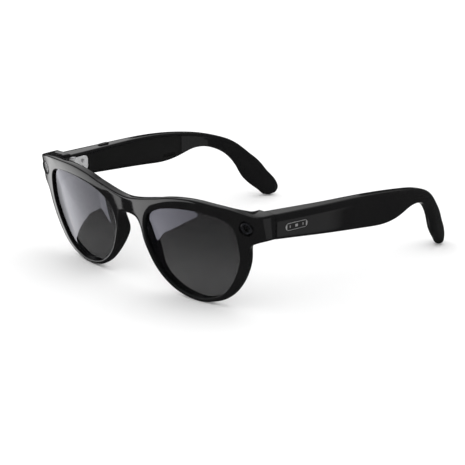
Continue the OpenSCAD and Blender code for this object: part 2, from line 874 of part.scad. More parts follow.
module speaker_mesh_right() {
  on_side(-1) speaker_mesh();
}
module microphones_right() {
  on_side(-1) microphones();
}
module antenna_right() {
  on_side(-1) antenna();
}
module badge_right() {
  on_side(-1) badge();
}
module capture_switch() {
  color("#2a2a2e") on_side(-1)
    in_temple(button_s, capture_z) block(2, 4, capture_h);
}
module capture_button() {
  color("#1a1a1d") on_side(-1) in_temple(button_s, button_z - wall_t - flange_gap) {
    linear_extrude(wall_t + flange_gap + button_proud) button_outline(0);
    translate([0, 0, -flange_t]) linear_extrude(flange_t) button_outline(flange_w);
  }
}

front_frame();
lens_left();
lens_right();
brow_cover();
front_flex();
bridge_microphone();
charging_contacts();
camera_bezel();
camera_window();
camera_module();
light_bezel();
light_window();
light_guide();
light_board();
hinge_front_leaf_left();
hinge_front_leaf_right();
hinge_pin_left();
hinge_pin_right();
hinge_front_screws();
temple_shell_left();
temple_cover_left();
hinge_temple_leaf_left();
temple_screws_left();
battery();
battery_board();
speaker_left();
speaker_mesh_left();
microphones_left();
antenna_left();
badge_left();
switch_base();
power_switch();
temple_shell_right();
temple_cover_right();
hinge_temple_leaf_right();
temple_screws_right();
main_board();
shield_can();
touch_pad();
speaker_right();
speaker_mesh_right();
microphones_right();
antenna_right();
badge_right();
capture_switch();
capture_button();
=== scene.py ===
# %% [markdown]
# # Smart glasses: the looks
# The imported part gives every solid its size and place. This lesson builds the finished
# skins around it: a polished front, two hooked temples, tinted lenses, hinges, the camera
# and the controls. All lengths in the helpers are millimetres, and each finished mesh is
# turned into metres once, at the end of its own cell.

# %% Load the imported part
import json
import math
import bmesh
import bpy
from mathutils import Matrix, Vector

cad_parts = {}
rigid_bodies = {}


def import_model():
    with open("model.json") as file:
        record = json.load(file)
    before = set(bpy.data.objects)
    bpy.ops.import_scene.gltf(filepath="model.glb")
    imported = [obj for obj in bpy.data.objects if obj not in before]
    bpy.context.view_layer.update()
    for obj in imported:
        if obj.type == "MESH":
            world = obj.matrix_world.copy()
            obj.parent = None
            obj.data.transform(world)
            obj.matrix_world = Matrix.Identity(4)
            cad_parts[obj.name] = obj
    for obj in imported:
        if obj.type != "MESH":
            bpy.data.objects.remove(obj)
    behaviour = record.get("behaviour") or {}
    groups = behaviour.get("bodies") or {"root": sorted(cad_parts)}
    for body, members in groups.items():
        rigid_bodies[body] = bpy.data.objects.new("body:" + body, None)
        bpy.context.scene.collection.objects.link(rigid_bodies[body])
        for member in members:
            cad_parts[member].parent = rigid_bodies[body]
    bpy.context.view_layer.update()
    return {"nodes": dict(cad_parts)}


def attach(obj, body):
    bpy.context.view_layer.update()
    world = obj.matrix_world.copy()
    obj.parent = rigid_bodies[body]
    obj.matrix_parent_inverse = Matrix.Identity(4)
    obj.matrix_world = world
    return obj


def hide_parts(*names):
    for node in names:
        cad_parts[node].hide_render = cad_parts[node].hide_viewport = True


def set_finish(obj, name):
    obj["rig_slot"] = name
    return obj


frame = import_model()

# %% [markdown]
# ## The sizes
# The front is a sheet bent round an upright cylinder that leans forward. The same values
# as in the part's source give the depth of the face at any place, so that the skins land
# on the solids.

# %% Sizes of the front and the temples
FRONT_W, LENS_W, LENS_H, BRIDGE_GAP = 143.4, 51.3, 40.0, 19.4
RIM_W, SIDE_W, NOSE_W, BROW_W, RIM_T = 2.0, 4.2, 2.5, 4.6, 4.6
FRONT_R, LEAN, FACE_REF_Z = 272.0, math.radians(8.7), 45.0
END_L, SEAM_GAP = 10.87, 0.2
BRIDGE_TOP = 40.2
HALF_W = FRONT_W / 2
END_INNER_X = HALF_W - 10.5
TEMPLE_LEN, TEMPLE_T, TEMPLE_TOP = 129.4, 8.0, 43.3
WALL_T, COVER_T, HOLLOW_START, HOLLOW_LEN = 1.2, 1.0, 12.0, 63.0


def face_y(x, z, depth=0.0):
    """Depth of the face, or of a sheet below it, at a place on the front."""
    round_part = FRONT_R - math.sqrt((FRONT_R - depth) ** 2 - x * x)
    return round_part / math.cos(LEAN) + (FACE_REF_Z - z) * math.tan(LEAN)


SEAM_Y = (FRONT_R - math.sqrt(FRONT_R ** 2 - HALF_W ** 2)) / math.cos(LEAN) + END_L
TEMPLE_Y0 = SEAM_Y + SEAM_GAP
ROW_Y = -(face_y(0, BRIDGE_TOP) + TEMPLE_Y0 + TEMPLE_LEN) / 2
print("seam", round(SEAM_Y, 3), "row shift", round(ROW_Y, 4))

# %% [markdown]
# ## Smooth curves through a few points
# A real frame is cut along a drawn outline. A handful of points and a curve that passes
# through them keeps that outline easy to change. Points spread evenly along the curve give
# the mesh faces of one size, which a subdivision surface likes best.

# %% Curves
def blend(a, b, c, d, t):
    """A smooth way from b to c, where a and d are the points before and after them."""
    return (b + t * (c - a) / 2 + t * t * (a - 2.5 * b + 2 * c - d / 2)
            + t ** 3 * (1.5 * (b - c) + (d - a) / 2))


def closed_curve(points, steps):
    n = len(points)
    return [blend(points[i - 1], points[i], points[(i + 1) % n], points[(i + 2) % n], j / steps)
            for i in range(n) for j in range(steps)]


def open_curve(points, steps):
    last = len(points) - 1
    curve = [blend(points[max(i - 1, 0)], points[i], points[i + 1], points[min(i + 2, last)],
                   j / steps) for i in range(last) for j in range(steps)]
    return curve + [points[last]]


def spread(curve, count, closed=True):
    """Points at even distances along a curve."""
    loop = curve + [curve[0]] if closed else curve
    lengths = [0.0]
    for a, b in zip(loop, loop[1:]):
        lengths.append(lengths[-1] + (b - a).length)
    stops = count if closed else count - 1
    out, k = [], 0
    for i in range(count):
        goal = min(lengths[-1] * i / stops, lengths[-1] - 1e-9)
        while lengths[k + 1] < goal:
            k += 1
        t = (goal - lengths[k]) / (lengths[k + 1] - lengths[k])
        out.append(loop[k].lerp(loop[k + 1], t))
    return out


def look_up(rows, column):
    """A function that reads one column of a table along its first column."""
    curve = open_curve([Vector((row[0], row[column])) for row in rows], 6)

    def read(key):
        key = min(max(key, curve[0].x), curve[-1].x)
        for a, b in zip(curve, curve[1:]):
            if key <= b.x:
                return a.y + (b.y - a.y) * (key - a.x) / (b.x - a.x)
        return curve[-1].y
    return read


# %% [markdown]
# ## The drawn outlines
# A maker's drawing shows the lens opening, and the temple from the side and from above.
# They could be kept as lengths, but shares in per cent stretch with the opening's width
# and height and with the temple's length. Each has only the points that its bends need.

# %% Outlines: the lens opening, the temple from the side and from above
# Across from the nose and up, in per cent of the opening.
LENS_SHAPE = [
    (0, 62), (4, 80), (17, 91), (34, 97), (56, 100), (76, 99.3), (90, 96), (97.5, 86),
    (100, 64), (97, 46), (89, 26), (77, 9.5), (60, 1), (49, 0), (37, 2.5), (27, 7.5),
    (18, 15.5), (10.5, 26), (5, 39), (1.3, 51)]
# Place along the temple in per cent, then in millimetres how far it stands out and how
# much thicker it is.
TEMPLE_PLAN = [
    (0, 0, 2.3), (12.3, 1.4, 1.6), (27.6, 2.8, 0.2), (46, 3.8, -0.6), (61.3, 2.9, -0.9),
    (75.7, -1.5, -1.3), (90, -8.6, -1.9), (104, -17, -2.8)]
# Pairs of places on the temple's top edge and on its underside, in per cent.
TEMPLE_PAIRS = [
    (0, 100, 0, 76), (9.2, 99, 9.2, 73.2), (23.5, 97.6, 23.5, 68.6),
    (38.9, 96.3, 38.9, 64.2), (51.6, 93.4, 49.1, 61.4), (61.5, 89.4, 56.7, 64),
    (69.8, 84.8, 62.9, 69.4), (78.2, 76.8, 67.5, 70.2), (82.5, 70, 71.6, 67.8),
    (85.6, 63, 75.9, 62.8), (88.8, 54, 79.7, 55.2), (91.3, 47.4, 82.6, 45.2),
    (93.5, 40, 84.4, 36), (95.4, 31.7, 86.1, 26), (97.6, 24, 88.4, 18), (99, 18, 90.2, 13),
    (100, 9.5, 92.4, 7.6), (98.9, 3.4, 93.8, 3.2)]
read_out = look_up(TEMPLE_PLAN, 1)
read_thick = look_up(TEMPLE_PLAN, 2)


def out_x(s):
    return HALF_W + read_out(100 * s / TEMPLE_LEN)


def in_x(s):
    return out_x(s) - TEMPLE_T - read_thick(100 * s / TEMPLE_LEN)


print("temple width at the seam", round(out_x(0) - in_x(0), 2))

# %% [markdown]
# ## Working on chains of vertices
# Most skins here are grown the way a maker bends a strip: a chain of vertices is extruded
# and each copy is set on its place. One helper does it for rings and for open chains.

# %% Growing a mesh from a chain
def pull_out(bm, chain, places, closed):
    """Extrudes a chain of vertices, sets the copies on their places and returns them."""
    ends = chain[1:] + chain[:1] if closed else chain[1:]
    edges = [bm.edges.get((a, b)) for a, b in zip(chain, ends)]
    made = bmesh.ops.extrude_edge_only(bm, edges=edges)["geom"]
    partner = {}
    for v in (g for g in made if isinstance(g, bmesh.types.BMVert)):
        for e in v.link_edges:
            partner[e.other_vert(v)] = v
    copies = [partner[v] for v in chain]
    for v, place in zip(copies, places):
        v.co = place
    return copies


def first_ring(bm, places):
    """A closed chain of vertices, one on each place."""
    ring = bmesh.ops.create_circle(bm, segments=len(places), radius=1)["verts"]
    for v, place in zip(ring, places):
        v.co = place
    return ring


def finished(bm, name, smooth_angle=40):
    """Turns a bmesh in millimetres into an object in metres, in its own place."""
    bmesh.ops.remove_doubles(bm, verts=bm.verts, dist=1e-4)
    bmesh.ops.recalc_face_normals(bm, faces=bm.faces)
    bmesh.ops.scale(bm, vec=(0.001, 0.001, 0.001), verts=bm.verts)
    mesh = bpy.data.meshes.new(name)
    bm.to_mesh(mesh)
    bm.free()
    piece = bpy.data.objects.new(name, mesh)
    bpy.context.scene.collection.objects.link(piece)
    soft_edges(piece, smooth_angle)
    return piece


def soft_edges(piece, angle):
    """Shades smoothly, but keeps every edge sharper than an angle."""
    work = bmesh.new()
    work.from_mesh(piece.data)
    for f in work.faces:
        f.smooth = True
    for e in work.edges:
        e.smooth = not (e.is_manifold and e.calc_face_angle(0) > math.radians(angle))
    work.to_mesh(piece.data)
    work.free()


def settle(piece, angle=40):
    """Applies the modifiers, so that later cuts meet the final surface."""
    graph = bpy.context.evaluated_depsgraph_get()
    done = bpy.data.meshes.new_from_object(piece.evaluated_get(graph))
    piece.modifiers.clear()
    old = piece.data
    piece.data = done
    done.name = piece.name
    bpy.data.meshes.remove(old)
    soft_edges(piece, angle)
    return piece


def subdivide(piece, levels):
    mod = piece.modifiers.new("smooth", "SUBSURF")
    mod.levels = mod.render_levels = levels
    return settle(piece)


def cut(piece, cutter, angle=40):
    """Cuts one solid out of another and removes the cutter."""
    mod = piece.modifiers.new("cut", "BOOLEAN")
    mod.operation, mod.solver, mod.object = "DIFFERENCE", "EXACT", cutter
    settle(piece, angle)
    bpy.data.objects.remove(cutter)


# %% [markdown]
# ## The front
# The front of such a frame is milled from one sheet and then tumbled until every edge is
# round. A subdivision surface gives the same soft, even edges if its cage has neat loops.
# The cage is a sheet: a ring round the lens opening, a ring on the rim's outline, a few
# columns to the middle of the bridge and a few that turn the corner to the temple. The
# sheet is then thickened by extruding all of it, each copy set on the back of the front.

# %% Rings round the lens opening
SPOKES = 48
corners = [Vector((BRIDGE_GAP / 2 + u * LENS_W / 100, RIM_W + v * LENS_H / 100))
           for u, v in LENS_SHAPE]
opening = spread(closed_curve(corners, 8), SPOKES)


def outward(curve, i):
    """The direction that leads out of a closed curve at one of its points."""
    d = (curve[(i + 1) % len(curve)] - curve[i - 1]).normalized()
    return Vector((-d.y, d.x))


def rim_width(n):
    """The rim is widest at the brow and at the side, and wider at the nose than below."""
    return (RIM_W + (BROW_W - RIM_W) * max(0, n.y) ** 2 + (SIDE_W - RIM_W) * max(0, n.x) ** 2
            + (NOSE_W - RIM_W) * max(0, -n.x) ** 2)


def sharpened(curve):
    """Moves the points out a little, as much as a subdivision surface pulls them in."""
    n = len(curve)
    return [p + (2 * p - curve[i - 1] - curve[(i + 1) % n]) / 6 for i, p in enumerate(curve)]


def nearest(curve, x, z):
    return min(range(len(curve)), key=lambda i: (curve[i] - Vector((x, z))).length)


TOP_LIFT = 0.4  # what the rounding takes off the brow
normals = [outward(opening, i) for i in range(SPOKES)]
rim = [p + (rim_width(n) + TOP_LIFT * max(0, n.y)) * n for p, n in zip(opening, normals)]
bridge_low, bridge_high = nearest(opening, 9.7, 27), nearest(opening, 18.3, 38.8)
end_high, end_low = nearest(opening, 52, 41.7), nearest(opening, 61, 28)
opening_cage = sharpened(opening)
rim_cage = sharpened(rim)
rim_cage[bridge_low] = Vector((7.3, 27.4))
rim_cage[bridge_high] = Vector((17.0, 43.6))
rim_cage[end_high] = Vector((54.4, 46.5))
rim_cage[end_low] = Vector((65.2, 27.0))
print("bridge spokes", bridge_low, bridge_high, "end spokes", end_high, end_low)

# %% [markdown]
# ## Columns of the bridge and of the end piece
# Between the rims the sheet goes on in three columns to the middle of the bridge. At the
# outer end five columns run along the face, turn the corner and go back to the seam. One
# large face could span each place, but even squares stay smooth when they are subdivided.

# %% Columns of the bridge and of the end piece
# Each column is (x, z at its top; x, z at its bottom); the end piece's also say how deep.
BRIDGE_COLUMNS = [(10.5, 42.1, 6.3, 30.9), (5.0, 41.2, 4.0, 32.6), (0.0, 40.6, 0.0, 33.1)]
END_COLUMNS = [(60.5, 46.2, 65.9, 29.2), (66.3, 45.3, 67.3, 31.4), (70.3, 44.5, 69.8, 32.8),
               (71.7, 44.2, 71.7, 33.2), (71.7, 44.2, 71.7, 33.2)]
SEAM_INDEX = len(END_COLUMNS) - 1
CORNER_X, CORNER_START, CORNER_END = 66.3, 1.5, 6.2


def column(top_bottom, count):
    x0, z0, x1, z1 = top_bottom
    return [Vector((x0, z0)).lerp(Vector((x1, z1)), i / (count - 1)) for i in range(count)]


def corner_depth(k, x, z):
    """Depth of the end piece's skin: on the face, round the corner, then back to the seam."""
    if k < 2:
        return face_y(x, z)
    if k == 2:
        return face_y(CORNER_X, z) + CORNER_START
    return SEAM_Y if k == SEAM_INDEX else face_y(CORNER_X, z) + CORNER_END


# %% Grow the sheet
def on_face(p):
    return Vector((p.x, face_y(p.x, p.y), p.y))


bridge_rows = list(range(bridge_low, bridge_high + 1))
end_rows = list(range(end_high, end_low + 1))
cage = bmesh.new()
mate = cage.verts.layers.int.new("mate")
skin = cage.faces.layers.int.new("skin")
back_place = {}
ring0 = first_ring(cage, [on_face(p) for p in opening_cage])
ring1 = pull_out(cage, ring0, [on_face(p) for p in rim_cage], True)
chain = [ring1[i] for i in reversed(bridge_rows)]
for spec in BRIDGE_COLUMNS:
    chain = pull_out(cage, chain, [on_face(p) for p in column(spec, len(chain))], False)
chain = [ring1[i] for i in end_rows]
end_grid = [[ring0[i] for i in end_rows], chain]
for k, spec in enumerate(END_COLUMNS):
    places = [Vector((p.x, corner_depth(k, p.x, p.y), p.y)) for p in column(spec, len(chain))]
    chain = pull_out(cage, chain, places, False)
    end_grid.append(chain)
print("front sheet:", len(cage.verts), "vertices")

# %% [markdown]
# ## The back of the front
# Behind the face the front is a plain sheet of one thickness, except in two places: the
# nose pads swell out of the rim, and each end piece runs back as a block to the hinge. The
# block's inner wall stands straight, so the columns that turn the corner outside are laid
# along that wall inside.

# %% Places on the back
PAD_DEPTH, PAD_INNER_X, PAD_W, PAD_Z, PAD_HALF_H = 4.6, 9.0, 9.0, 20.5, 10.5
HOLE_SWELL, BACK_INSET = 0.85, 0.7


def pad_swell(x, z):
    """How far the back is pushed out to form a nose pad."""
    across = max(0.0, 1 - max(0.0, x - PAD_INNER_X) / PAD_W)
    along = (z - PAD_Z) / PAD_HALF_H
    return PAD_DEPTH * across * max(0.0, 1 - along * along) if abs(along) < 1 else 0.0


for i, v in enumerate(cage.verts):
    v[mate] = i + 1
    x, z = v.co.x, v.co.z
    back_place[i + 1] = Vector((x, face_y(x, z, RIM_T), z))
for i in range(SPOKES):
    n = normals[i]
    lower = max(0.0, 1 - max(0.0, n.y) * 2)
    p = rim_cage[i] - BACK_INSET * lower * n
    swell = pad_swell(opening[i].x, opening[i].y) if n.x < 0 else 0.0
    back_place[ring1[i][mate]] = Vector((p.x, face_y(p.x, p.y, RIM_T) + swell, p.y))
    q = opening_cage[i]
    swollen = face_y(q.x, q.y, RIM_T) + HOLE_SWELL * swell
    back_place[ring0[i][mate]] = Vector((q.x, swollen, q.y))

# %% The straight inner wall of the end piece
for row in range(len(end_rows)):
    line = [col[row] for col in end_grid]
    reach = [0.0]
    for a, b in zip(line, line[1:]):
        reach.append(reach[-1] + (b.co - a.co).length)
    cross = next((reach[k] + (reach[k + 1] - reach[k]) * max(0.0, (END_INNER_X - line[k].co.x))
                  / (line[k + 1].co.x - line[k].co.x)
                  for k in range(len(line) - 1) if line[k + 1].co.x > END_INNER_X), 0.0)
    for k, v in enumerate(line):
        z = v.co.z
        if v.co.x <= END_INNER_X:
            continue
        share = (reach[k] - cross) / (reach[-1] - cross)
        start = face_y(END_INNER_X, z, RIM_T)
        back_place[v[mate]] = Vector((END_INNER_X, start + (SEAM_Y - start) * share, z))
# The lowest row runs from the rim's side to the underside of the block.
LOW_ROW = [(64.6, 27.0, 0.0), (64.2, 29.4, 0.6), (62.6, 31.2, 2.6), (61.4, 32.6, 4.8),
           (61.2, 33.2, 6.4)]
for k, (x, z, more) in enumerate(LOW_ROW):
    back_place[end_grid[k + 1][-1][mate]] = Vector((x, face_y(x, z, RIM_T) + more, z))

# %% [markdown]
# ## From a sheet to a solid front
# The sheet is extruded once and each copy moves to its place on the back. A Solidify
# modifier would give one even wall, but this back has pads and blocks. Only one half was
# made, so the wall in the middle goes and the half is mirrored. Each kind of edge has its
# own bevel weight: a crisp edge at the lens, a soft one round the back, next to the skin.

# %% Thicken the sheet
FACE, BACK, SIDE, HOLE, SEAM = 1, 2, 3, 4, 5
front_faces = list(cage.faces)
made = bmesh.ops.extrude_face_region(cage, geom=front_faces)["geom"]
back_faces = [g for g in made if isinstance(g, bmesh.types.BMFace)]
for v in (g for g in made if isinstance(g, bmesh.types.BMVert)):
    v.co = back_place[v[mate]]
for f in cage.faces:
    f[skin] = SIDE
for f in front_faces:
    f[skin] = FACE
for f in back_faces:
    f[skin] = BACK
ring0_ids = {v[mate] for v in ring0}
seam_ids = {v[mate] for v in end_grid[-1]}
middle = []
for f in cage.faces:
    if f[skin] == SIDE:
        ids = {v[mate] for v in f.verts}
        if ids <= ring0_ids:
            f[skin] = HOLE
        elif ids <= seam_ids:
            f[skin] = SEAM
        elif all(abs(v.co.x) < 1e-4 for v in f.verts):
            middle.append(f)
print("walls:", sum(f[skin] >= SIDE for f in cage.faces), "faces")

# %% Mirror the half and round its edges
bmesh.ops.delete(cage, geom=middle, context="FACES_ONLY")
bmesh.ops.mirror(cage, geom=cage.verts[:] + cage.edges[:] + cage.faces[:], axis="X",
                 merge_dist=1e-3)
bmesh.ops.recalc_face_normals(cage, faces=cage.faces)
ROUNDING = {(FACE, SIDE): 0.5, (BACK, SIDE): 1.0, (FACE, HOLE): 0.22, (BACK, HOLE): 0.4,
            (FACE, SEAM): 0.2, (BACK, SEAM): 0.2, (SIDE, SEAM): 0.2}
weight = cage.edges.layers.float.new("bevel_weight_edge")
for e in cage.edges:
    kinds = tuple(sorted({f[skin] for f in e.link_faces}))
    e[weight] = ROUNDING.get(kinds, 0.0)
bmesh.ops.translate(cage, verts=cage.verts, vec=(0, ROW_Y, 0))
front = finished(cage, "front_polished")
mod = front.modifiers.new("round", "BEVEL")
mod.limit_method, mod.width, mod.segments = "WEIGHT", 0.0014, 2
mod.use_clamp_overlap, mod.profile = False, 0.5
subdivide(front, 2)
print("front:", len(front.data.polygons), "faces")

# %% [markdown]
# ## The temples
# A temple is a long bar that narrows, bends and ends in a hook behind the ear. It is
# lofted: a closed section is pulled from station to station, and its corners grow rounder
# towards the hook, where the section is nearly an oval.

# %% Stations along the temple
top_line = open_curve([Vector((a * TEMPLE_LEN / 100, b * TEMPLE_TOP / 100))
                       for a, b, c, d in TEMPLE_PAIRS], 2)
under_line = open_curve([Vector((c * TEMPLE_LEN / 100, d * TEMPLE_TOP / 100))
                         for a, b, c, d in TEMPLE_PAIRS], 2)


def along(line, s):
    """Height of a line at a distance behind the seam, over the temple's straight part."""
    for a, b in zip(line, line[1:]):
        if s <= b.x:
            return a.y + (b.y - a.y) * (s - a.x) / (b.x - a.x)
    return line[-1].y


MOST_ROUND = 0.46  # a corner's largest radius, as a share of the section's width or height
CORNER_IN = 0.29  # how far a round corner's middle lies inside the sharp one, in radii
LOOP_GAP, LOOP_SHARE = 0.8, 0.3  # where the loops beside a corner lie, at most


def section(top, under, shrink, corners):
    """24 places round a section: three on each corner and three on each side between."""
    height = (top - under).length
    width = out_x(top.x) - in_x(top.x)
    radii = [min(r, MOST_ROUND * width, MOST_ROUND * height) for r in corners]
    half_w, half_h = width / 2 - shrink, height / 2 - shrink
    flat = []
    signs = [(1, 1), (-1, 1), (-1, -1), (1, -1)]
    for k, (sx, sz) in enumerate(signs):
        r = radii[k]
        a = (sx * (half_w - r), sz * half_h)
        b = (sx * (half_w - CORNER_IN * r), sz * (half_h - CORNER_IN * r))
        c = (sx * half_w, sz * (half_h - r))
        flat.append([c, b, a] if sx * sz > 0 else [a, b, c])
    ring = []
    for k in range(4):
        ring += flat[k]
        here, there = flat[k][-1], flat[(k + 1) % 4][0]
        span = math.dist(here, there)
        step = min(LOOP_GAP, LOOP_SHARE * span) / span
        for t in (step, 0.5, 1 - step):
            ring.append((here[0] + (there[0] - here[0]) * t, here[1] + (there[1] - here[1]) * t))
    places = []
    for x, h in ring:
        along_bar = under.lerp(top, 0.5 + h / height)
        share = 0.5 + x / width
        across = in_x(along_bar.x) + (out_x(along_bar.x) - in_x(along_bar.x)) * share
        places.append(Vector((across, TEMPLE_Y0 + along_bar.x, along_bar.y)))
    return places


# %% Loft the left temple
BAR_CORNERS, HOOK_CORNER = (2.2, 1.3, 1.0, 1.2), 3.6
ROUND_FROM, ROUND_OVER = 9, 12  # stations over which the bar's corners become the hook's
SEAM_STATIONS = [(0.0, 0.25), (0.3, 0.0), (1.2, 0.0)]  # distance behind the seam, and inset
NEAR_TIP, TIP_S, TIP_Z, TIP_SHARES = 0.95 * TEMPLE_LEN, 0.957 * TEMPLE_LEN, 0.3, (0.3, 0.62)


def temple_skin(name):
    bm = bmesh.new()
    ring = None
    for s, shrink in SEAM_STATIONS:
        t, u = Vector((s, along(top_line, s))), Vector((s, along(under_line, s)))
        places = section(t, u, shrink, BAR_CORNERS)
        if ring is None:
            ring = first_ring(bm, places)
            bmesh.ops.contextual_create(bm, geom=ring)
        else:
            ring = pull_out(bm, ring, places, True)
    pairs = list(zip(top_line, under_line))[1:]
    for i, (t, u) in enumerate(pairs):
        share = min(1.0, max(0.0, (i - ROUND_FROM) / ROUND_OVER))
        corners = [a + (HOOK_CORNER - a) * share for a in BAR_CORNERS]
        ring = pull_out(bm, ring, section(t, u, 0.0, corners), True)
    middle_x = (in_x(NEAR_TIP) + out_x(NEAR_TIP)) / 2
    tip = Vector((middle_x, TEMPLE_Y0 + TIP_S, TIP_Z))
    for share in TIP_SHARES:
        places = [v.co.lerp(tip, share) - Vector((0, 0, 0.5 * (1 - share))) for v in ring]
        ring = pull_out(bm, ring, places, True)
    bmesh.ops.contextual_create(bm, geom=ring)
    bmesh.ops.translate(bm, verts=bm.verts, vec=(0, ROW_Y, 0))
    return subdivide(finished(bm, name), 2)


temple_left = temple_skin("temple_polished_left")
print("temple:", len(temple_left.data.polygons), "faces")

# %% [markdown]
# ## Cutters
# Holes and pockets are cut from the finished skins with solids of the right size. A round
# cutter and a pill-shaped one are enough: camera holes, screw rooms, ports and slots.

# %% Cutters and small solids
def rod(centre, axis, radius, length, segments=48):
    """A round solid from a centre along an axis, as a bmesh in millimetres."""
    bm = bmesh.new()
    bmesh.ops.create_cone(bm, cap_ends=True, segments=segments, radius1=radius,
                          radius2=radius, depth=length)
    turn = Vector((0, 0, 1)).rotation_difference(Vector(axis)).to_matrix().to_4x4()
    place = Matrix.Translation(Vector(centre)) @ turn @ Matrix.Translation((0, 0, length / 2))
    bmesh.ops.transform(bm, matrix=place, verts=bm.verts)
    return bm


SHARP = 1.0  # radians: only the rims of a flat solid are sharper


def pill(length, height, low, high, edge=0.0, segments=2):
    """A pill lying along Y, as high as Z, from low to high along X."""
    bm = bmesh.new()
    ring = bmesh.ops.create_circle(bm, cap_ends=True, segments=36, radius=height / 2)["verts"]
    # Half a step, so that no vertex lies on the middle line that parts the two round ends.
    bmesh.ops.rotate(bm, verts=ring, matrix=Matrix.Rotation(math.radians(5), 3, "Z"))
    for v in ring:
        v.co.y += math.copysign((length - height) / 2, v.co.y)
    bmesh.ops.rotate(bm, verts=ring, matrix=Matrix.Rotation(math.radians(90), 3, "Y"))
    bmesh.ops.translate(bm, verts=ring, vec=(low, 0, 0))
    made = bmesh.ops.extrude_face_region(bm, geom=bm.faces[:])["geom"]
    top = [g for g in made if isinstance(g, bmesh.types.BMVert)]
    bmesh.ops.translate(bm, verts=top, vec=(high - low, 0, 0))
    if edge:
        rims = [e for e in bm.edges if e.calc_face_angle(0) > SHARP]
        bmesh.ops.bevel(bm, geom=rims, offset=edge, segments=segments, profile=0.5,
                        affect="EDGES", material=-1)
    return bm


def placed(bm, matrix, side=1):
    """Moves a bmesh into the row and, for side -1, over to the wearer's right."""
    bmesh.ops.transform(bm, matrix=Matrix.Translation((0, ROW_Y, 0)) @ matrix, verts=bm.verts)
    if side < 0:
        bmesh.ops.scale(bm, vec=(-1, 1, 1), verts=bm.verts)
    return bm


def carve(piece, solid, matrix, side=1, angle=40):
    """Cuts a solid, set on its place, out of a finished piece."""
    cut(piece, finished(placed(solid, matrix, side), "cutter"), angle)


def turned(x, y, z, slope):
    return Matrix.Translation((x, y, z)) @ Matrix.Rotation(-slope, 4, "Z")


def on_cover(s, z):
    """A frame on the temple's inner face: X into the temple, Y along it."""
    return turned(in_x(s), TEMPLE_Y0 + s, z, math.atan((in_x(s + 3) - in_x(s - 3)) / 6))


def on_outside(s, z):
    return turned(out_x(s), TEMPLE_Y0 + s, z, math.atan((out_x(s + 4) - out_x(s - 4)) / 8))


def inside_x(s):
    return (in_x(s) + COVER_T + out_x(s) - WALL_T) / 2


def in_temple(s, z):
    slope = math.atan((inside_x(s + 6) - inside_x(s - 6)) / 12)
    return turned(inside_x(s), TEMPLE_Y0 + s, z, slope)


IDENTITY = Matrix.Identity(4)

# %% [markdown]
# ## Room for the camera, the light and the hinges
# The camera and the recording light sit in round holes in the two upper corners. Each
# hinge needs a round room for its knuckles, half in the front and half in the temple.

# %% Cut the front
LIGHT_X, CAMERA_Z, RING_R, RING_ROOM, HOLE_DEPTH, IN_FRONT = 65.5, 39.0, 3.3, 0.05, 5.0, 20
HINGE_X, HINGE_Y, HINGE_Z, HINGE_H = END_INNER_X - 0.2, SEAM_Y + 0.9, 33.9, 8.0
KNUCKLE_R, RUN_GAP, ROOM_H, PORT_R = 1.9, 0.25, 8.9, 0.4
NECK_W, NECK_L, NECK_IN = 3.1, 2.55, 0.45
HINGE_SLOPE = math.atan((in_x(10) - in_x(0)) / 10)


def hinge_room():
    """The round room in which the knuckles turn."""
    return rod((HINGE_X, HINGE_Y, HINGE_Z - 0.2), (0, 0, 1), KNUCKLE_R + RUN_GAP, ROOM_H)


def neck_room(direction):
    """The square way from the knuckles to a leaf: -1 in the front, 1 in the temple."""
    bm = bmesh.new()
    bmesh.ops.create_cube(bm, size=1)
    bmesh.ops.scale(bm, vec=(NECK_W, NECK_L, HINGE_H + 0.4), verts=bm.verts)
    middle = (-NECK_IN, direction * NECK_L / 2, HINGE_Z + HINGE_H / 2)
    bmesh.ops.translate(bm, verts=bm.verts, vec=middle)
    slope = HINGE_SLOPE if direction > 0 else 0.0
    bmesh.ops.transform(bm, matrix=turned(HINGE_X, HINGE_Y, 0, slope), verts=bm.verts)
    return bm


for side in (1, -1):
    depth = face_y(LIGHT_X, CAMERA_Z) + HOLE_DEPTH + IN_FRONT
    hole = rod((LIGHT_X, -IN_FRONT, CAMERA_Z), (0, 1, 0), RING_R + RING_ROOM, depth, 64)
    for solid in (hole, hinge_room(), neck_room(-1)):
        carve(front, solid, IDENTITY, side)
port = rod((0, face_y(0, 33) + RIM_T / 2, 31), (0, 0, 1), PORT_R, 4, 24)
carve(front, port, IDENTITY)
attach(front, "front")
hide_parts("front_frame")
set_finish(front, "frame_black")
print("front after its cuts:", len(front.data.polygons), "faces")

# %% [markdown]
# ## Hollow temples
# The electronics lie in a hollow that opens towards the head and is closed by a thin
# plate. The hollow and the plate are lofts of the same rectangle, the plate a hair
# smaller, so that a fine seam shows all round it as on a glued cover.

# %% The hollow and the inner cover
def slab(s0, s1, low, high, wall):
    """A loft inside the temple: low and high give its two X values at a distance s."""
    bm, ring = bmesh.new(), None
    steps = 24
    for i in range(steps + 1):
        s = s0 + (s1 - s0) * i / steps
        z0, z1 = along(under_line, s) + wall, along(top_line, s) - wall
        corners = [(low(s), z0), (high(s), z0), (high(s), z1), (low(s), z1)]
        places = [Vector((x, TEMPLE_Y0 + s, z)) for x, z in corners]
        if ring is None:
            ring = first_ring(bm, places)
            bmesh.ops.contextual_create(bm, geom=ring)
        else:
            ring = pull_out(bm, ring, places, True)
    bmesh.ops.contextual_create(bm, geom=ring)
    bmesh.ops.recalc_face_normals(bm, faces=bm.faces)
    return bm


HOLLOW_END = HOLLOW_START + HOLLOW_LEN
COVER_SEAM, COVER_SUNK = 0.09, 0.02


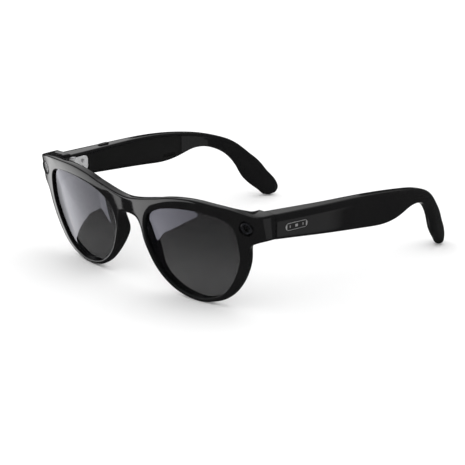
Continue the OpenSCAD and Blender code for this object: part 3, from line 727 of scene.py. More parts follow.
def cover_plate(name, side):
    bm = slab(HOLLOW_START + COVER_SEAM, HOLLOW_END - COVER_SEAM,
              lambda s: in_x(s) + COVER_SUNK, lambda s: in_x(s) + COVER_T, WALL_T + COVER_SEAM)
    rims = [e for e in bm.edges if e.calc_face_angle(0) > SHARP]
    bmesh.ops.bevel(bm, geom=rims, offset=0.14, segments=2, profile=0.5, affect="EDGES",
                    material=-1)
    return finished(placed(bm, IDENTITY, side), name)


# %% Cut the left temple
hollow = slab(HOLLOW_START, HOLLOW_END, lambda s: in_x(s) - 4, lambda s: out_x(s) - WALL_T, WALL_T)
for solid in (hinge_room(), neck_room(1), hollow):
    carve(temple_left, solid, IDENTITY)
BADGE_S, BADGE_L, BADGE_H, BADGE_T = 11.0, 12.0, 3.2, 0.4
BADGE_Z = (along(top_line, BADGE_S) + along(under_line, BADGE_S)) / 2
badge_room = pill(BADGE_L + 0.12, BADGE_H + 0.12, -BADGE_T - 0.05, 2)
carve(temple_left, badge_room, on_outside(BADGE_S, BADGE_Z))
for s in (16, 54):
    port = rod((0, 0, -2), (0, 0, 1), PORT_R, 4.2, 24)
    carve(temple_left, port, in_temple(s, along(under_line, s)))
print("left temple after its cuts:", len(temple_left.data.polygons), "faces")

# %% [markdown]
# ## The right temple
# It is the left one mirrored, with one more opening: the slot of the capture button on
# the top edge. Mirroring turns the faces inside out, so the normals are worked out again.

# %% Mirror the temple and cut the button's slot
BUTTON_S, BUTTON_L, BUTTON_W = 26.0, 6.4, 2.2
BUTTON_Z = along(top_line, BUTTON_S)
UPRIGHT = Matrix.Rotation(math.radians(-90), 4, "Y")
bm = bmesh.new()
bm.from_mesh(temple_left.data)
bmesh.ops.scale(bm, vec=(-1000, 1000, 1000), verts=bm.verts)
temple_right = finished(bm, "temple_polished_right")
slot_cutter = pill(BUTTON_L + 0.3, BUTTON_W + 0.3, -2.5, 3)
carve(temple_right, slot_cutter, in_temple(BUTTON_S, BUTTON_Z) @ UPRIGHT, -1)
for temple, side in ((temple_left, "left"), (temple_right, "right")):
    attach(temple, side + "_temple")
    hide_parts("temple_shell_" + side)
    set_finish(temple, "frame_black")
print("right temple:", len(temple_right.data.polygons), "faces")

# %% [markdown]
# ## Inner covers and speaker grilles
# Each cover is a satin plate with a pill-shaped slot over the speaker, and in the slot sits
# a thin strip with two rows of small holes. The left cover has a second slot, in which the
# power switch slides. Holes could be painted on, but cut ones stay true from close by.

# %% Speaker grilles
SPEAKER_S, MESH_L, MESH_H = 67.0, 8.0, 1.6
MESH_Z = along(under_line, SPEAKER_S) + WALL_T + 1.8
SWITCH_S, KNOB_L, KNOB_H, SWITCH_TRAVEL = HOLLOW_START + 7, 2.6, 1.6, 2.0
SWITCH_Z = along(top_line, SWITCH_S + SWITCH_TRAVEL) - WALL_T - KNOB_H / 2 - 0.45
HOLE_R, HOLE_STEP, HOLE_ROW = 0.2, 0.8, 0.36


def speaker_mesh(name, side):
    bm = pill(MESH_L, MESH_H, 0.2, 0.75, 0.08)
    mesh = finished(placed(bm, on_cover(SPEAKER_S, MESH_Z), side), name)
    for row in (-HOLE_ROW, HOLE_ROW):
        for k in range(9):
            y = (k - 4) * HOLE_STEP + (0.0 if row < 0 else HOLE_STEP / 4)
            hole = rod((-0.5, y, row), (1, 0, 0), HOLE_R, 2, 10)
            carve(mesh, hole, on_cover(SPEAKER_S, MESH_Z), side)
    return mesh


# %% Covers with their slots
for side, word in ((1, "left"), (-1, "right")):
    cover = cover_plate("cover_satin_" + word, side)
    slot_cutter = pill(MESH_L + 0.1, MESH_H + 0.1, -1, 2)
    carve(cover, slot_cutter, on_cover(SPEAKER_S, MESH_Z), side)
    if side > 0:
        window = pill(KNOB_L + SWITCH_TRAVEL + 0.5, KNOB_H + 0.5, -1, 2)
        carve(cover, window, on_cover(SWITCH_S + SWITCH_TRAVEL / 2, SWITCH_Z))
    mesh = speaker_mesh("speaker_grille_" + word, side)
    for piece, node, slot in ((cover, "temple_cover_", "cover_black"),
                              (mesh, "speaker_mesh_", "mesh_black")):
        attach(piece, word + "_temple")
        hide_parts(node + word)
        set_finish(piece, slot)
    print("cover and grille:", word, len(cover.data.polygons), len(mesh.data.polygons), "faces")

# %% [markdown]
# ## The lenses
# A sun lens is a shallow dome with ground edges that snaps into a groove. Rings of
# vertices shrink from the outline to the middle, and the dome adds its own height to the
# curve of the front. A thin solid is then extruded from that sheet.

# %% Domed lenses
DOME, LENS_DEPTH, LENS_T, LENS_LIP = 0.85, 1.15, 1.9, 0.75
LENS_STEPS = (1.0, 0.97, 0.86, 0.7, 0.52, 0.34, 0.17)


def lens(name, side):
    edge = sharpened([p + LENS_LIP * n for p, n in zip(opening, normals)])
    middle = sum(edge, Vector((0, 0))) / len(edge)

    def places(t):
        out = []
        for p in edge:
            q = middle.lerp(p, t)
            y = face_y(q.x, q.y, LENS_DEPTH) - DOME * (1 - t * t)
            out.append(Vector((q.x, y, q.y)))
        return out
    bm = bmesh.new()
    ring = first_ring(bm, places(LENS_STEPS[0]))
    for t in LENS_STEPS[1:]:
        ring = pull_out(bm, ring, places(t), True)
    hub = bmesh.ops.contextual_create(bm, geom=ring)["faces"]
    spokes = bmesh.ops.poke(bm, faces=hub)["verts"]
    spokes[0].co.y = face_y(middle.x, middle.y, LENS_DEPTH) - DOME
    made = bmesh.ops.extrude_face_region(bm, geom=bm.faces[:])["geom"]
    bmesh.ops.translate(bm, verts=[g for g in made if isinstance(g, bmesh.types.BMVert)],
                        vec=(0, LENS_T, 0))
    piece = finished(placed(bm, IDENTITY, side), name)
    return subdivide(piece, 1)


for side, word in ((1, "left"), (-1, "right")):
    piece = lens("lens_domed_" + word, side)
    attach(piece, "front")
    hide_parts("lens_" + word)
    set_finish(piece, "lens_tint")
print("lens:", len(piece.data.polygons), "faces")

# %% [markdown]
# ## Camera and recording light
# Both sit behind a bevelled metal ring and a slightly domed window. Round pieces come from
# a half profile that is spun once round. The ring and the window are then laid on the
# curved face by adding the depth of the face to every vertex.

# %% Spun pieces
def spun(profile, closed, steps=64):
    """Spins a profile of (radius, depth) round the Y axis."""
    bm = bmesh.new()
    verts = [bm.verts.new((r, d, 0)) for r, d in profile]
    pairs = list(zip(verts, verts[1:])) + ([(verts[-1], verts[0])] if closed else [])
    edges = [bm.edges.new(pair) for pair in pairs]
    bmesh.ops.spin(bm, geom=verts + edges, cent=(0, 0, 0), axis=(0, 1, 0),
                   angle=math.tau, steps=steps, use_merge=True)
    bmesh.ops.remove_doubles(bm, verts=bm.verts, dist=1e-3)
    return bm


def laid_on_face(bm, follow=1.0):
    for v in bm.verts:
        x, z = LIGHT_X + v.co.x, CAMERA_Z + v.co.z
        flat, real = face_y(LIGHT_X, CAMERA_Z), face_y(x, z)
        v.co = Vector((x, v.co.y + flat + (real - flat) * follow, z))
    return bm


# Half profiles as (radius, depth below the face).
RING = [(3.3, 1.6), (3.3, 0.12), (3.26, 0.04), (3.16, 0.0), (3.02, 0.0), (2.92, 0.05),
        (2.62, 0.5), (2.6, 0.6), (2.6, 1.6)]
WINDOW = [(0, 0.24), (0.9, 0.25), (1.7, 0.28), (2.3, 0.34), (2.5, 0.38), (2.55, 0.44),
          (2.55, 1.2), (0, 1.2)]
MODULE = [(0, 1.75), (0.4, 1.79), (0.75, 1.92), (0.98, 2.15), (1.05, 2.4), (1.2, 2.4),
          (1.25, 2.2), (1.9, 1.95), (2.2, 1.95), (2.25, 2.1), (2.25, 3.6), (3.0, 3.6),
          (3.0, 4.95), (0, 4.95)]
GUIDE = [(0, 2.4), (0.5, 2.42), (0.95, 2.5), (1.1, 2.7), (1.1, 4.1), (0, 4.1)]
ROUND_PIECES = [
    ("camera_ring", RING, True, 1, 1.0, "camera_bezel", "ring_metal"),
    ("camera_glass", WINDOW, False, 1, 1.0, "camera_window", "window_dark"),
    ("camera_barrel", MODULE, False, 1, 0.0, "camera_module", "module_black"),
    ("light_ring", RING, True, -1, 1.0, "light_bezel", "ring_metal"),
    ("light_glass", WINDOW, False, -1, 1.0, "light_window", "window_dark"),
    ("light_pipe", GUIDE, False, -1, 0.0, "light_guide", "guide_clear")]
for name, profile, closed, side, follow, node, slot in ROUND_PIECES:
    bm = laid_on_face(spun(profile, closed), follow)
    piece = finished(placed(bm, IDENTITY, side), name, 25)
    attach(piece, "front")
    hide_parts(node)
    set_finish(piece, slot)
print("round pieces:", [row[0] for row in ROUND_PIECES])

# %% [markdown]
# ## Screws
# Small parts catch the eye by their highlights, so each gets a rounded edge. A screw could
# be a cylinder with a bevel, but a spun profile gives its domed head and its shank at once.
# The six-sided recess is then cut into each screw, and a pair becomes one piece.

# %% Screws
SCREW = [(0, -0.04), (0.45, -0.03), (0.74, 0.02), (0.87, 0.1), (0.9, 0.2), (0.9, 0.4),
         (0.45, 0.4), (0.45, 2.2), (0.3, 2.35), (0, 2.35)]
FACING_IN = Matrix.Rotation(math.radians(-90), 4, "Z")
SCREW_SHARES, FRONT_SCREW_Y, LEAF_SCREW_Y, RECESS_R, RECESS_L = (0.3, 0.7), -3.575, 6.2, 0.42, 1.2


def screw_set(name, spots, node, body):
    bm = bmesh.new()
    for matrix, side in spots:
        one = spun(SCREW, False, 32)
        bmesh.ops.transform(one, matrix=FACING_IN, verts=one.verts)
        part = finished(placed(one, matrix, side), name + "_one", 25)
        carve(part, rod((-1, 0, 0), (1, 0, 0), RECESS_R, RECESS_L, 6), matrix, side, 25)
        bm.from_mesh(part.data)
        bpy.data.objects.remove(part)
    bmesh.ops.scale(bm, vec=(1000, 1000, 1000), verts=bm.verts)
    piece = finished(bm, name, 25)
    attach(piece, body)
    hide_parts(node)
    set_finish(piece, "screw_steel")


at_hinge = turned(HINGE_X, HINGE_Y, 0, 0)
at_leaf = turned(HINGE_X, HINGE_Y, 0, HINGE_SLOPE)
front_spots = [(at_hinge @ Matrix.Translation((0, FRONT_SCREW_Y, HINGE_Z + HINGE_H * k)), side)
               for side in (1, -1) for k in SCREW_SHARES]
screw_set("front_screws", front_spots, "hinge_front_screws", "front")
for side, word in ((1, "left"), (-1, "right")):
    spots = [(at_leaf @ Matrix.Translation((0, LEAF_SCREW_Y, HINGE_Z + HINGE_H * k)), side)
             for k in SCREW_SHARES]
    screw_set("leaf_screws_" + word, spots, "temple_screws_" + word, word + "_temple")
print("screws on the front:", len(front_spots), "on each temple:", len(spots))

# %% [markdown]
# ## Badges, button and switch
# These are pills with a bevelled edge, worked from the outer face. An inset with a step
# gives the badge a raised rim, a generic mark in place of any lettering. Three insets give
# the button a shallow dish for the finger, and three round grooves give the switch a grip.

# %% Badges
def badge(name, side):
    bm = pill(BADGE_L, BADGE_H, -BADGE_T, 0.05, 0.07)
    face = max(bm.faces, key=lambda f: f.calc_center_median().x)
    bmesh.ops.inset_region(bm, faces=[face], thickness=0.28)
    bmesh.ops.inset_region(bm, faces=[face], thickness=0.08, depth=-0.09)
    return finished(placed(bm, on_outside(BADGE_S, BADGE_Z), side), name, 30)


for side, word in ((1, "left"), (-1, "right")):
    piece = badge("badge_pill_" + word, side)
    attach(piece, word + "_temple")
    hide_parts("badge_" + word)
    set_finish(piece, "badge_metal")

# %% Capture button and power switch
bm = pill(BUTTON_L, BUTTON_W, -1.3, 0.6, 0.28, 3)
face = max(bm.faces, key=lambda f: f.calc_center_median().x)
for thickness, depth in ((0.3, 0), (0.25, -0.06), (0.15, -0.02)):
    bmesh.ops.inset_region(bm, faces=[face], thickness=thickness, depth=depth)
button = finished(placed(bm, in_temple(BUTTON_S, BUTTON_Z) @ UPRIGHT, -1), "button_dished", 50)
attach(button, "capture_button")
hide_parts("capture_button")
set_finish(button, "button_black")

bm = pill(KNOB_L, KNOB_H, -0.35, COVER_T + 0.2, 0.12)
knob = finished(placed(bm, on_cover(SWITCH_S, SWITCH_Z)), "switch_knob", 35)
for k in (-1, 0, 1):
    groove = rod((-0.42, 0.5 * k, -2), (0, 0, 1), 0.14, 4, 12)
    carve(knob, groove, on_cover(SWITCH_S, SWITCH_Z), angle=35)
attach(knob, "power_switch")
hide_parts("power_switch")
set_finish(knob, "button_black")
print("button:", len(button.data.polygons), "faces, switch:", len(knob.data.polygons), "faces")

# %% [markdown]
# ## Pieces kept from the solids
# Hinge leaves, pins, boards and the battery already have their true shape. A copy of each
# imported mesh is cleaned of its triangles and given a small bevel, so that no edge is
# sharper than a machined one.

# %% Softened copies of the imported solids
SHIFTS = {"brow_cover": (0, 0.14, 0), "charging_contacts": (0, 0.1, 0)}
FLAT, RIM_ANGLE = math.radians(1.5), math.radians(35)


def softened(node, width, slot, body):
    """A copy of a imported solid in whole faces, with a bevel of a width in millimetres."""
    bm = bmesh.new()
    bm.from_mesh(frame["nodes"][node].data)
    bmesh.ops.scale(bm, vec=(1000, 1000, 1000), verts=bm.verts)
    bmesh.ops.remove_doubles(bm, verts=bm.verts, dist=1e-3)
    bmesh.ops.dissolve_limit(bm, angle_limit=FLAT, verts=bm.verts, edges=bm.edges)
    bmesh.ops.translate(bm, verts=bm.verts, vec=SHIFTS.get(node, (0, 0, 0)))
    rims = [e for e in bm.edges if e.is_manifold and e.calc_face_angle(0) > RIM_ANGLE]
    bmesh.ops.bevel(bm, geom=rims, offset=width, segments=2, profile=0.5, affect="EDGES",
                    material=-1, clamp_overlap=True)
    piece = finished(bm, node + "_soft", 30)
    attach(piece, body)
    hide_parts(node)
    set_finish(piece, slot)


SOFTENED = [
    ("brow_cover", 0.18, "cover_black", "front"),
    ("charging_contacts", 0.12, "contact_gold", "front"),
    ("front_flex", 0.03, "flex_amber", "front"),
    ("bridge_microphone", 0.1, "can_silver", "front"),
    ("light_board", 0.05, "board_green", "front"),
    ("hinge_front_leaf_left", 0.14, "hinge_steel", "front"),
    ("hinge_front_leaf_right", 0.14, "hinge_steel", "front"),
    ("hinge_pin_left", 0.1, "screw_steel", "front"),
    ("hinge_pin_right", 0.1, "screw_steel", "front"),
    ("hinge_temple_leaf_left", 0.14, "hinge_steel", "left_temple"),
    ("hinge_temple_leaf_right", 0.14, "hinge_steel", "right_temple"),
    ("battery", 0.6, "cell_silver", "left_temple"),
    ("battery_board", 0.06, "board_green", "left_temple"),
    ("switch_base", 0.08, "module_black", "left_temple"),
    ("main_board", 0.06, "board_green", "right_temple"),
    ("shield_can", 0.2, "can_silver", "right_temple"),
    ("touch_pad", 0.04, "flex_amber", "right_temple"),
    ("capture_switch", 0.1, "module_black", "right_temple")]
for word in ("left", "right"):
    SOFTENED += [("speaker_" + word, 0.5, "module_black", word + "_temple"),
                 ("microphones_" + word, 0.12, "can_silver", word + "_temple"),
                 ("antenna_" + word, 0.05, "flex_amber", word + "_temple")]
for node, width, slot, body in SOFTENED:
    softened(node, width, slot, body)
print("softened:", len(SOFTENED))

# %% [markdown]
# ## Finishes
# Every finish is a small network of nodes on the Principled shader. The sums are written
# as plain Python: a wrapped socket knows how to add, subtract, multiply and divide, and
# each sum adds one Math node. All other nodes come from one method. The patterns are
# placed by object coordinates, in metres, so that they stay on a piece as it moves.

# %% A wrapped socket and a paint
class Wire:
    """A node's output that can be used in sums."""

    def __init__(self, board, socket):
        self.socket, self.maths = socket, board.maths

    def __add__(self, other):
        return self.maths("ADD", self, other)

    def __radd__(self, other):
        return self.maths("ADD", other, self)

    def __sub__(self, other):
        return self.maths("SUBTRACT", self, other)

    def __rsub__(self, other):
        return self.maths("SUBTRACT", other, self)

    def __mul__(self, other):
        return self.maths("MULTIPLY", self, other)

    def __rmul__(self, other):
        return self.maths("MULTIPLY", other, self)

    def __truediv__(self, other):
        return self.maths("DIVIDE", self, other)

    def __rtruediv__(self, other):
        return self.maths("DIVIDE", other, self)

    def __gt__(self, other):
        return self.maths("GREATER_THAN", self, other)

    def __lt__(self, other):
        return self.maths("LESS_THAN", self, other)


class Board:
    """A tree of nodes, to which nodes are added one by one."""

    def __init__(self, tree):
        self.tree = tree

    def wire(self, node, values):
        for key, value in values.items():
            if isinstance(value, Wire):
                self.tree.links.new(value.socket, node.inputs[key])
            else:
                node.inputs[key].default_value = value

    def add(self, kind, settings=None, values=None, out=0):
        """One node: its settings first, then the values or links of its sockets."""
        node = self.tree.nodes.new(kind)
        for key, value in (settings or {}).items():
            if key == "stops":
                ramp = node.color_ramp.elements
                while len(ramp) < len(value):
                    ramp.new(0.5)
                for stop, (where, colour) in zip(ramp, value):
                    stop.position, stop.color = where, colour
            else:
                setattr(node, key, value)
        self.wire(node, values or {})
        return Wire(self, node.outputs[out])

    def maths(self, operation, *values):
        return self.add("ShaderNodeMath", {"operation": operation}, dict(enumerate(values)))


# %% A paint
class Paint(Board):
    """A material on the Principled shader."""

    def __init__(self, name, **fixed):
        self.material = bpy.data.materials.new(name)
        self.material.use_nodes = True
        super().__init__(self.material.node_tree)
        self.shader = self.tree.nodes["Principled BSDF"]
        self.shade(**fixed)

    def shade(self, **values):
        self.wire(self.shader, {k.replace("_", " "): v for k, v in values.items()})
        return self.material

    def place(self, axis=None):
        """The place on the object in metres, or its part along one axis."""
        spot = self.add("ShaderNodeTexCoord", out="Object")
        if axis is None:
            return spot
        return self.add("ShaderNodeSeparateXYZ", values={0: spot}, out=axis)

    def noise(self, size, detail=3.0, stretch=(1, 1, 1), rough=0.5):
        """Even noise with features of a size in millimetres, stretched along the axes."""
        spot = self.add("ShaderNodeMapping", values={0: self.place(), "Scale": stretch})
        return self.add("ShaderNodeTexNoise", values={
            "Vector": spot, "Scale": 1000 / size, "Detail": detail, "Roughness": rough})

    def blend(self, share, first, second):
        return self.add("ShaderNodeMix", {"data_type": "RGBA"},
                        {0: share, 6: first, 7: second}, out=2)

    def bump(self, height, depth):
        """Relief from a height between 0 and 1 and a depth in millimetres."""
        return self.add("ShaderNodeBump", values={
            "Height": height, "Distance": depth / 1000, "Strength": 1.0})

    def band(self, value, low, high):
        """0 below low, 1 above high and a smooth rise between."""
        return self.add("ShaderNodeMapRange", {"interpolation_type": "SMOOTHSTEP"},
                        {"Value": value, "From Min": low, "From Max": high})


def grey(value, tint=(1, 1, 1)):
    return (value * tint[0], value * tint[1], value * tint[2], 1)


# %% [markdown]
# ## Polished black acetate
# The frame is tumbled and buffed, so it is nearly a mirror with a faint haze where fingers
# touch it, a few hair-fine buffing lines and a very slight waviness. The colour is a soft
# black with a trace of cloud in it, because the sheet is cast.

# %% Frame and cover finishes
def acetate(name, black, haze):
    p = Paint(name, IOR=1.5)
    cloud = p.noise(9, 2)
    smudge = p.band(p.noise(14, 4, (1, 1, 1), 0.6), 0.5, 0.75)
    lines = p.band(p.noise(0.5, 2, (0.05, 0.05, 1.0)), 0.62, 0.74)
    relief = p.noise(6, 1) * 0.7 + lines * 0.02
    return p.shade(Base_Color=p.blend(cloud, grey(black, (1, 1, 1.08)), grey(black * 1.5)),
                   Roughness=haze + smudge * 0.05 + lines * 0.05,
                   Normal=p.bump(relief, 0.006))


def satin(name, black, rough):
    p = Paint(name, IOR=1.46)
    grain = p.noise(0.22, 2)
    wear = p.noise(11, 4, (1, 0.5, 1), 0.6)
    return p.shade(Base_Color=p.blend(wear, grey(black), grey(black * 1.7)),
                   Roughness=rough + wear * 0.12, Normal=p.bump(grain, 0.012))


frame_black = acetate("frame_acetate", 0.0055, 0.035)
button_black = acetate("button_acetate", 0.008, 0.09)
cover_black = satin("cover_satin", 0.006, 0.34)
module_black = satin("module_moulded", 0.016, 0.5)

# %% [markdown]
# ## Tinted lens
# A grey sun lens lets a few per cent of the light through, a little more towards its lower
# edge. Alpha does this: the shader keeps its full gloss while what lies behind shows
# through. Both faces of the lens count, so each lets through the root of the whole share.

# %% Lens and windows
def tinted(name):
    p = Paint(name, IOR=1.75, Specular_Tint=(0.8, 0.8, 1.0, 1))
    height = p.band(p.place("Z"), 0.004, 0.042)
    dust = p.band(p.noise(0.35, 2), 0.72, 0.8)
    haze = p.noise(16, 3)
    return p.shade(Base_Color=p.blend(dust * 0.1, grey(0.002, (1, 1, 1.05)), grey(0.03)),
                   Roughness=0.008 + haze * 0.012 + dust * 0.05,
                   Alpha=0.735 + height * 0.125 + dust * 0.01)


def dark_window(name):
    """Smoked glass with a painted highlight round the hole's axis: fine lighter rings and a
    lighter border.
    """
    p = Paint(name, IOR=1.5)
    across = p.maths("ABSOLUTE", p.place("X"))
    dx = across - LIGHT_X / 1000
    dz = p.place("Z") - CAMERA_Z / 1000
    radius = p.maths("SQRT", dx * dx + dz * dz) * 1000
    glint_rings = p.band(p.maths("SINE", radius * 12.0), 0.2, 0.9)
    border = p.band(radius, 1.75, 1.95)
    # painted highlight: the rings and the border make the window's colour lighter, like light arcs
    # on a lens
    shade = border * 0.5 + glint_rings * 0.5 * (1 - border) * p.band(radius, 0.7, 0.9)
    return p.shade(Base_Color=p.blend(shade, grey(0.004), grey(0.022, (0.9, 0.95, 1.1))),
                   Roughness=0.03 + glint_rings * 0.04, Alpha=0.72 + 0.26 * border)


lens_tint = tinted("lens_grey_tint")
window_dark = dark_window("window_smoked")

# %% [markdown]
# ## Metals
# Turned and stamped metal is never one grey. Long thin noise gives the brushed lines, and
# a broad noise changes the gloss as handling does. The hinge leaves are bead blasted, so
# they scatter light almost like paint.

# %% Metal finishes
def brushed(name, tone, tint, rough, metal, stretch, depth=0.01):
    p = Paint(name)
    lines = p.noise(0.3, 3, stretch)
    handled = p.noise(3.5, 3)
    return p.shade(Base_Color=p.blend(lines, grey(tone * 0.82, tint), grey(tone, tint)),
                   Metallic=metal + handled * 0.06,
                   Roughness=rough + lines * 0.12 + handled * 0.08,
                   Normal=p.bump(lines, depth))


ring_metal = brushed("ring_anodised", 0.022, (1, 1, 1.05), 0.16, 0.9, (1, 0.1, 1))
hinge_steel = brushed("hinge_blasted_steel", 0.9, (1, 1, 1.01), 0.34, 0.45, (1, 1, 1), 0.02)
screw_steel = brushed("screw_turned_steel", 0.74, (1, 1, 1.02), 0.2, 0.75, (1, 1, 0.2))
contact_gold = brushed("contact_gold_plate", 0.8, (1, 0.75, 0.38), 0.16, 0.95, (1, 1, 1))
can_silver = brushed("can_tinned", 0.66, (1, 1, 0.98), 0.3, 0.85, (0.3, 1, 1))
cell_silver = brushed("cell_foil", 0.7, (1, 1, 1.03), 0.28, 0.8, (1, 0.25, 1), 0.06)


def badge_finish(name):
    """Smoked enamel in a bright rim, with three short bright bars as a generic mark."""
    p = Paint(name)
    s = (p.place("Y") * 1000 - (ROW_Y + TEMPLE_Y0 + BADGE_S)) / (BADGE_L / 2)
    h = (p.place("Z") * 1000 - BADGE_Z) / (BADGE_H / 2)
    wide, high = p.maths("ABSOLUTE", s), p.maths("ABSOLUTE", h)
    bars = p.band(p.maths("COSINE", s * 9.4), 0.3, 0.6)
    mark = bars * (wide < 0.62) * (high < 0.34)
    rim = p.band(p.maths("MAXIMUM", high, wide), 0.84, 0.88)
    bright = p.maths("MAXIMUM", mark, rim)
    lines = p.noise(0.15, 2, (1, 0.1, 1))
    return p.shade(Base_Color=p.blend(bright, grey(0.012), grey(0.42)),
                   Metallic=0.15 + bright * 0.4, Roughness=0.24 + lines * 0.14,
                   Normal=p.bump(lines, 0.006))


badge_metal = badge_finish("badge_enamel")

# %% [markdown]
# ## Boards, flexes and small plastics
# These lie inside and show only when the part is opened, but they keep their own looks:
# solder mask with copper lines, amber film, a woven grille and a clear light guide.

# %% Inner finishes
def solder_mask(name):
    p = Paint(name, IOR=1.5)
    cells = p.add("ShaderNodeTexVoronoi", {"feature": "DISTANCE_TO_EDGE"},
                  {"Vector": p.place(), "Scale": 900.0})
    track = 1 - p.band(cells, 0.02, 0.06)
    pads = p.band(p.noise(1.2, 1), 0.68, 0.72)
    green = p.blend(track, (0.012, 0.085, 0.03, 1), (0.03, 0.16, 0.06, 1))
    return p.shade(Base_Color=p.blend(pads, green, (0.75, 0.55, 0.25, 1)),
                   Metallic=pads * 0.8, Roughness=0.3 + track * 0.1,
                   Normal=p.bump(track + pads, 0.02))


def amber_film(name):
    p = Paint(name, IOR=1.6)
    lines = p.add("ShaderNodeTexWave", {"bands_direction": "Z"},
                  {"Vector": p.place(), "Scale": 700.0, "Distortion": 0.6})
    cloud = p.noise(5, 2)
    return p.shade(Base_Color=p.blend(lines, (0.42, 0.2, 0.05, 1), (0.62, 0.33, 0.09, 1)),
                   Roughness=0.28 + cloud * 0.15, Normal=p.bump(lines, 0.01))


def clear_guide(name):
    p = Paint(name, IOR=1.49)
    frost = p.noise(0.4, 2)
    return p.shade(Base_Color=p.blend(frost, grey(0.75), grey(0.9)),
                   Roughness=0.12 + frost * 0.2, Alpha=0.55 + frost * 0.2)


board_green = solder_mask("board_solder_mask")
flex_amber = amber_film("flex_polyimide")
guide_clear = clear_guide("guide_acrylic")
mesh_black = brushed("grille_black", 0.03, (1, 1, 1), 0.35, 0.7, (1, 1, 1), 0.02)

# %% [markdown]
# ## Giving out the finishes
# Every piece already names the slot of the record that it belongs to. Finishes could be
# handed out one by one as the pieces are made, but one table shows them all, and a slot
# that has no finish stops the script.

# %% Give each piece the finish of its slot
FINISHES = {
    "frame_black": frame_black, "cover_black": cover_black, "lens_tint": lens_tint,
    "window_dark": window_dark, "ring_metal": ring_metal, "hinge_steel": hinge_steel,
    "screw_steel": screw_steel, "badge_metal": badge_metal, "contact_gold": contact_gold,
    "board_green": board_green, "flex_amber": flex_amber, "cell_silver": cell_silver,
    "can_silver": can_silver, "module_black": module_black, "mesh_black": mesh_black,
    "button_black": button_black, "guide_clear": guide_clear}
painted = [piece for piece in bpy.data.objects if "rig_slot" in piece]
for piece in painted:
    piece.data.materials.clear()
    piece.data.materials.append(FINISHES[piece["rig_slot"]])
print("painted:", len(painted))

# %% [markdown]
# ## Floor and room
# A pale floor and an even bright room give soft shadows. Lamps could do that too, but each
# would leave its own spot on the gloss. The room is nearly dark for glossy reflections, and
# the floor is hidden from them, so that the black front shows only what is chosen for it.

# %% Floor and room
bpy.ops.mesh.primitive_plane_add(size=6, location=(0, 0, 0))
floor = bpy.context.object
floor.name = "floor"
p = Paint("floor_paper", Roughness=0.9)
p.shade(Base_Color=p.blend(p.noise(40, 3), grey(0.93), grey(0.95)))
floor.data.materials.append(p.material)
floor.visible_glossy = False

ROOM_LIGHT, ROOM_IN_GLOSS = 1.3, 0.03
world = bpy.data.worlds.new("studio")
world.use_nodes = True
bpy.context.scene.world = world
room = Board(world.node_tree)
glossy = room.add("ShaderNodeLightPath", out="Is Glossy Ray")
level = room.add("ShaderNodeMapRange", values={
    "Value": glossy, "To Min": ROOM_LIGHT, "To Max": ROOM_IN_GLOSS})
room.wire(world.node_tree.nodes["Background"], {"Strength": level, "Color": grey(1)})
print("room:", [node.name for node in world.node_tree.nodes])

# %% [markdown]
# ## Cards of light
# Black gloss is lit with white cards, because it shows the card and not the lamp. A card
# could be a flat panel, but a patch of a large sphere is placed by its direction alone. Its
# brightness fades from its first corner to its second, and it is seen in reflections only.

# %% Cards by direction
CARD_CENTRE, CARD_REACH, CARD_STEPS = Vector((0, -0.02, 0.035)), 12.0, 12


def direction(azimuth, height):
    a, h = math.radians(azimuth), math.radians(height)
    return Vector((math.cos(h) * math.cos(a), math.cos(h) * math.sin(a), math.sin(h)))


def card(name, corners, brightness, fade=((0, 1), (1, 1))):
    """A patch with four corners (azimuth, height) that fades from its first to its second."""
    bm = bmesh.new()
    bmesh.ops.create_grid(bm, x_segments=CARD_STEPS, y_segments=CARD_STEPS, size=0.5)
    c = [Vector(corner) for corner in corners]
    uv = bm.loops.layers.uv.verify()
    for f in bm.faces:
        for loop in f.loops:
            loop[uv].uv = (loop.vert.co.x + 0.5, loop.vert.co.y + 0.5)
    for v in bm.verts:
        u, w = v.co.x + 0.5, v.co.y + 0.5
        az, el = c[0].lerp(c[1], u).lerp(c[3].lerp(c[2], u), w)
        v.co = CARD_CENTRE + direction(az, el) * CARD_REACH
    mesh = bpy.data.meshes.new(name)
    bm.to_mesh(mesh)
    bm.free()
    p = Paint(name + "_light", Base_Color=grey(0), Specular_IOR_Level=0.0,
              Emission_Strength=brightness)
    flat = p.add("ShaderNodeTexCoord", out="UV")
    across = p.add("ShaderNodeSeparateXYZ", values={0: flat})
    level = p.add("ShaderNodeValToRGB", {"stops": [(u, grey(k)) for u, k in fade]}, {0: across})
    piece = bpy.data.objects.new(name, mesh)
    bpy.context.scene.collection.objects.link(piece)
    piece.data.materials.append(p.shade(Emission_Color=level))
    piece.visible_camera = piece.visible_diffuse = False
    piece.visible_transmission = piece.visible_shadow = False
    return piece


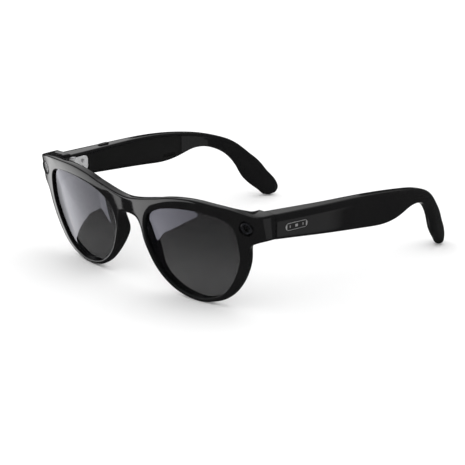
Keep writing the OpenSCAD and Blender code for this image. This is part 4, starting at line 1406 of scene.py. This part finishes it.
# %% The eight cards
cards = [
    card("card_left_edge", [(176, -46), (187, -46), (187, -14), (176, -14)], 3.8,
         [(0, 0.22), (0.55, 0.26), (0.8, 0.5), (1, 0.8)]),
    card("card_far_lens", [(187, -26.6), (210.5, -25.2), (212, -12), (187, -12)], 3.7,
         [(0, 0.82), (0.17, 0.72), (0.3, 0.6), (0.51, 0.46), (0.72, 0.36), (1, 0.3)]),
    card("card_bridge", [(210.5, -25.3), (213.6, -28.2), (213.6, -12), (211.5, -12)], 1.5),
    card("card_near_lens", [(217.2, -29.7), (239, -24), (239, -12), (217.2, -12)], 2.35,
         [(0, 1), (0.36, 0.85), (0.59, 0.72), (0.9, 0.55)]),
    card("card_over", [(116, 12), (205, 12), (205, 62), (116, 62)], 0.8,
         [(0, 0.15), (0.15, 0.25), (0.27, 0.9), (1, 1)]),
    card("card_top", [(0, 64), (360, 64), (360, 88), (0, 88)], 0.9),
    card("card_back", [(114, -30), (132, -30), (132, -6), (114, -6)], 0.4),
    card("card_temple", [(17, -26), (41, -26), (41, -8), (17, -8)], 0.3,
         [(0, 1), (0.93, 1), (1, 0.4)])]
print("cards:", [c.name for c in cards])

# %% [markdown]
# ## The camera
# It looks from the front, from the wearer's left and a little from above. A near camera
# with a short lens could show the same view, but a long lens from 0.8 m keeps the near and
# the far side in proportion. The Standard view transform leaves black and white as they are.

# %% Camera
CAMERA_PLACE, CAMERA_VIEW = (0.5475, -0.54125, 0.2528), Vector((-0.4803, 0.4658, -0.2129))
CAMERA_LENS, CAMERA_SENSOR = 134.4, 36
lens_data = bpy.data.cameras.new("camera")
lens_data.lens, lens_data.sensor_width = CAMERA_LENS, CAMERA_SENSOR
camera = bpy.data.objects.new("camera", lens_data)
camera.location = CAMERA_PLACE
camera.rotation_euler = CAMERA_VIEW.to_track_quat("-Z", "Y").to_euler()
bpy.context.scene.collection.objects.link(camera)
bpy.context.scene.camera = camera
bpy.context.scene.view_settings.view_transform = "Standard"
print("camera at", CAMERA_PLACE)
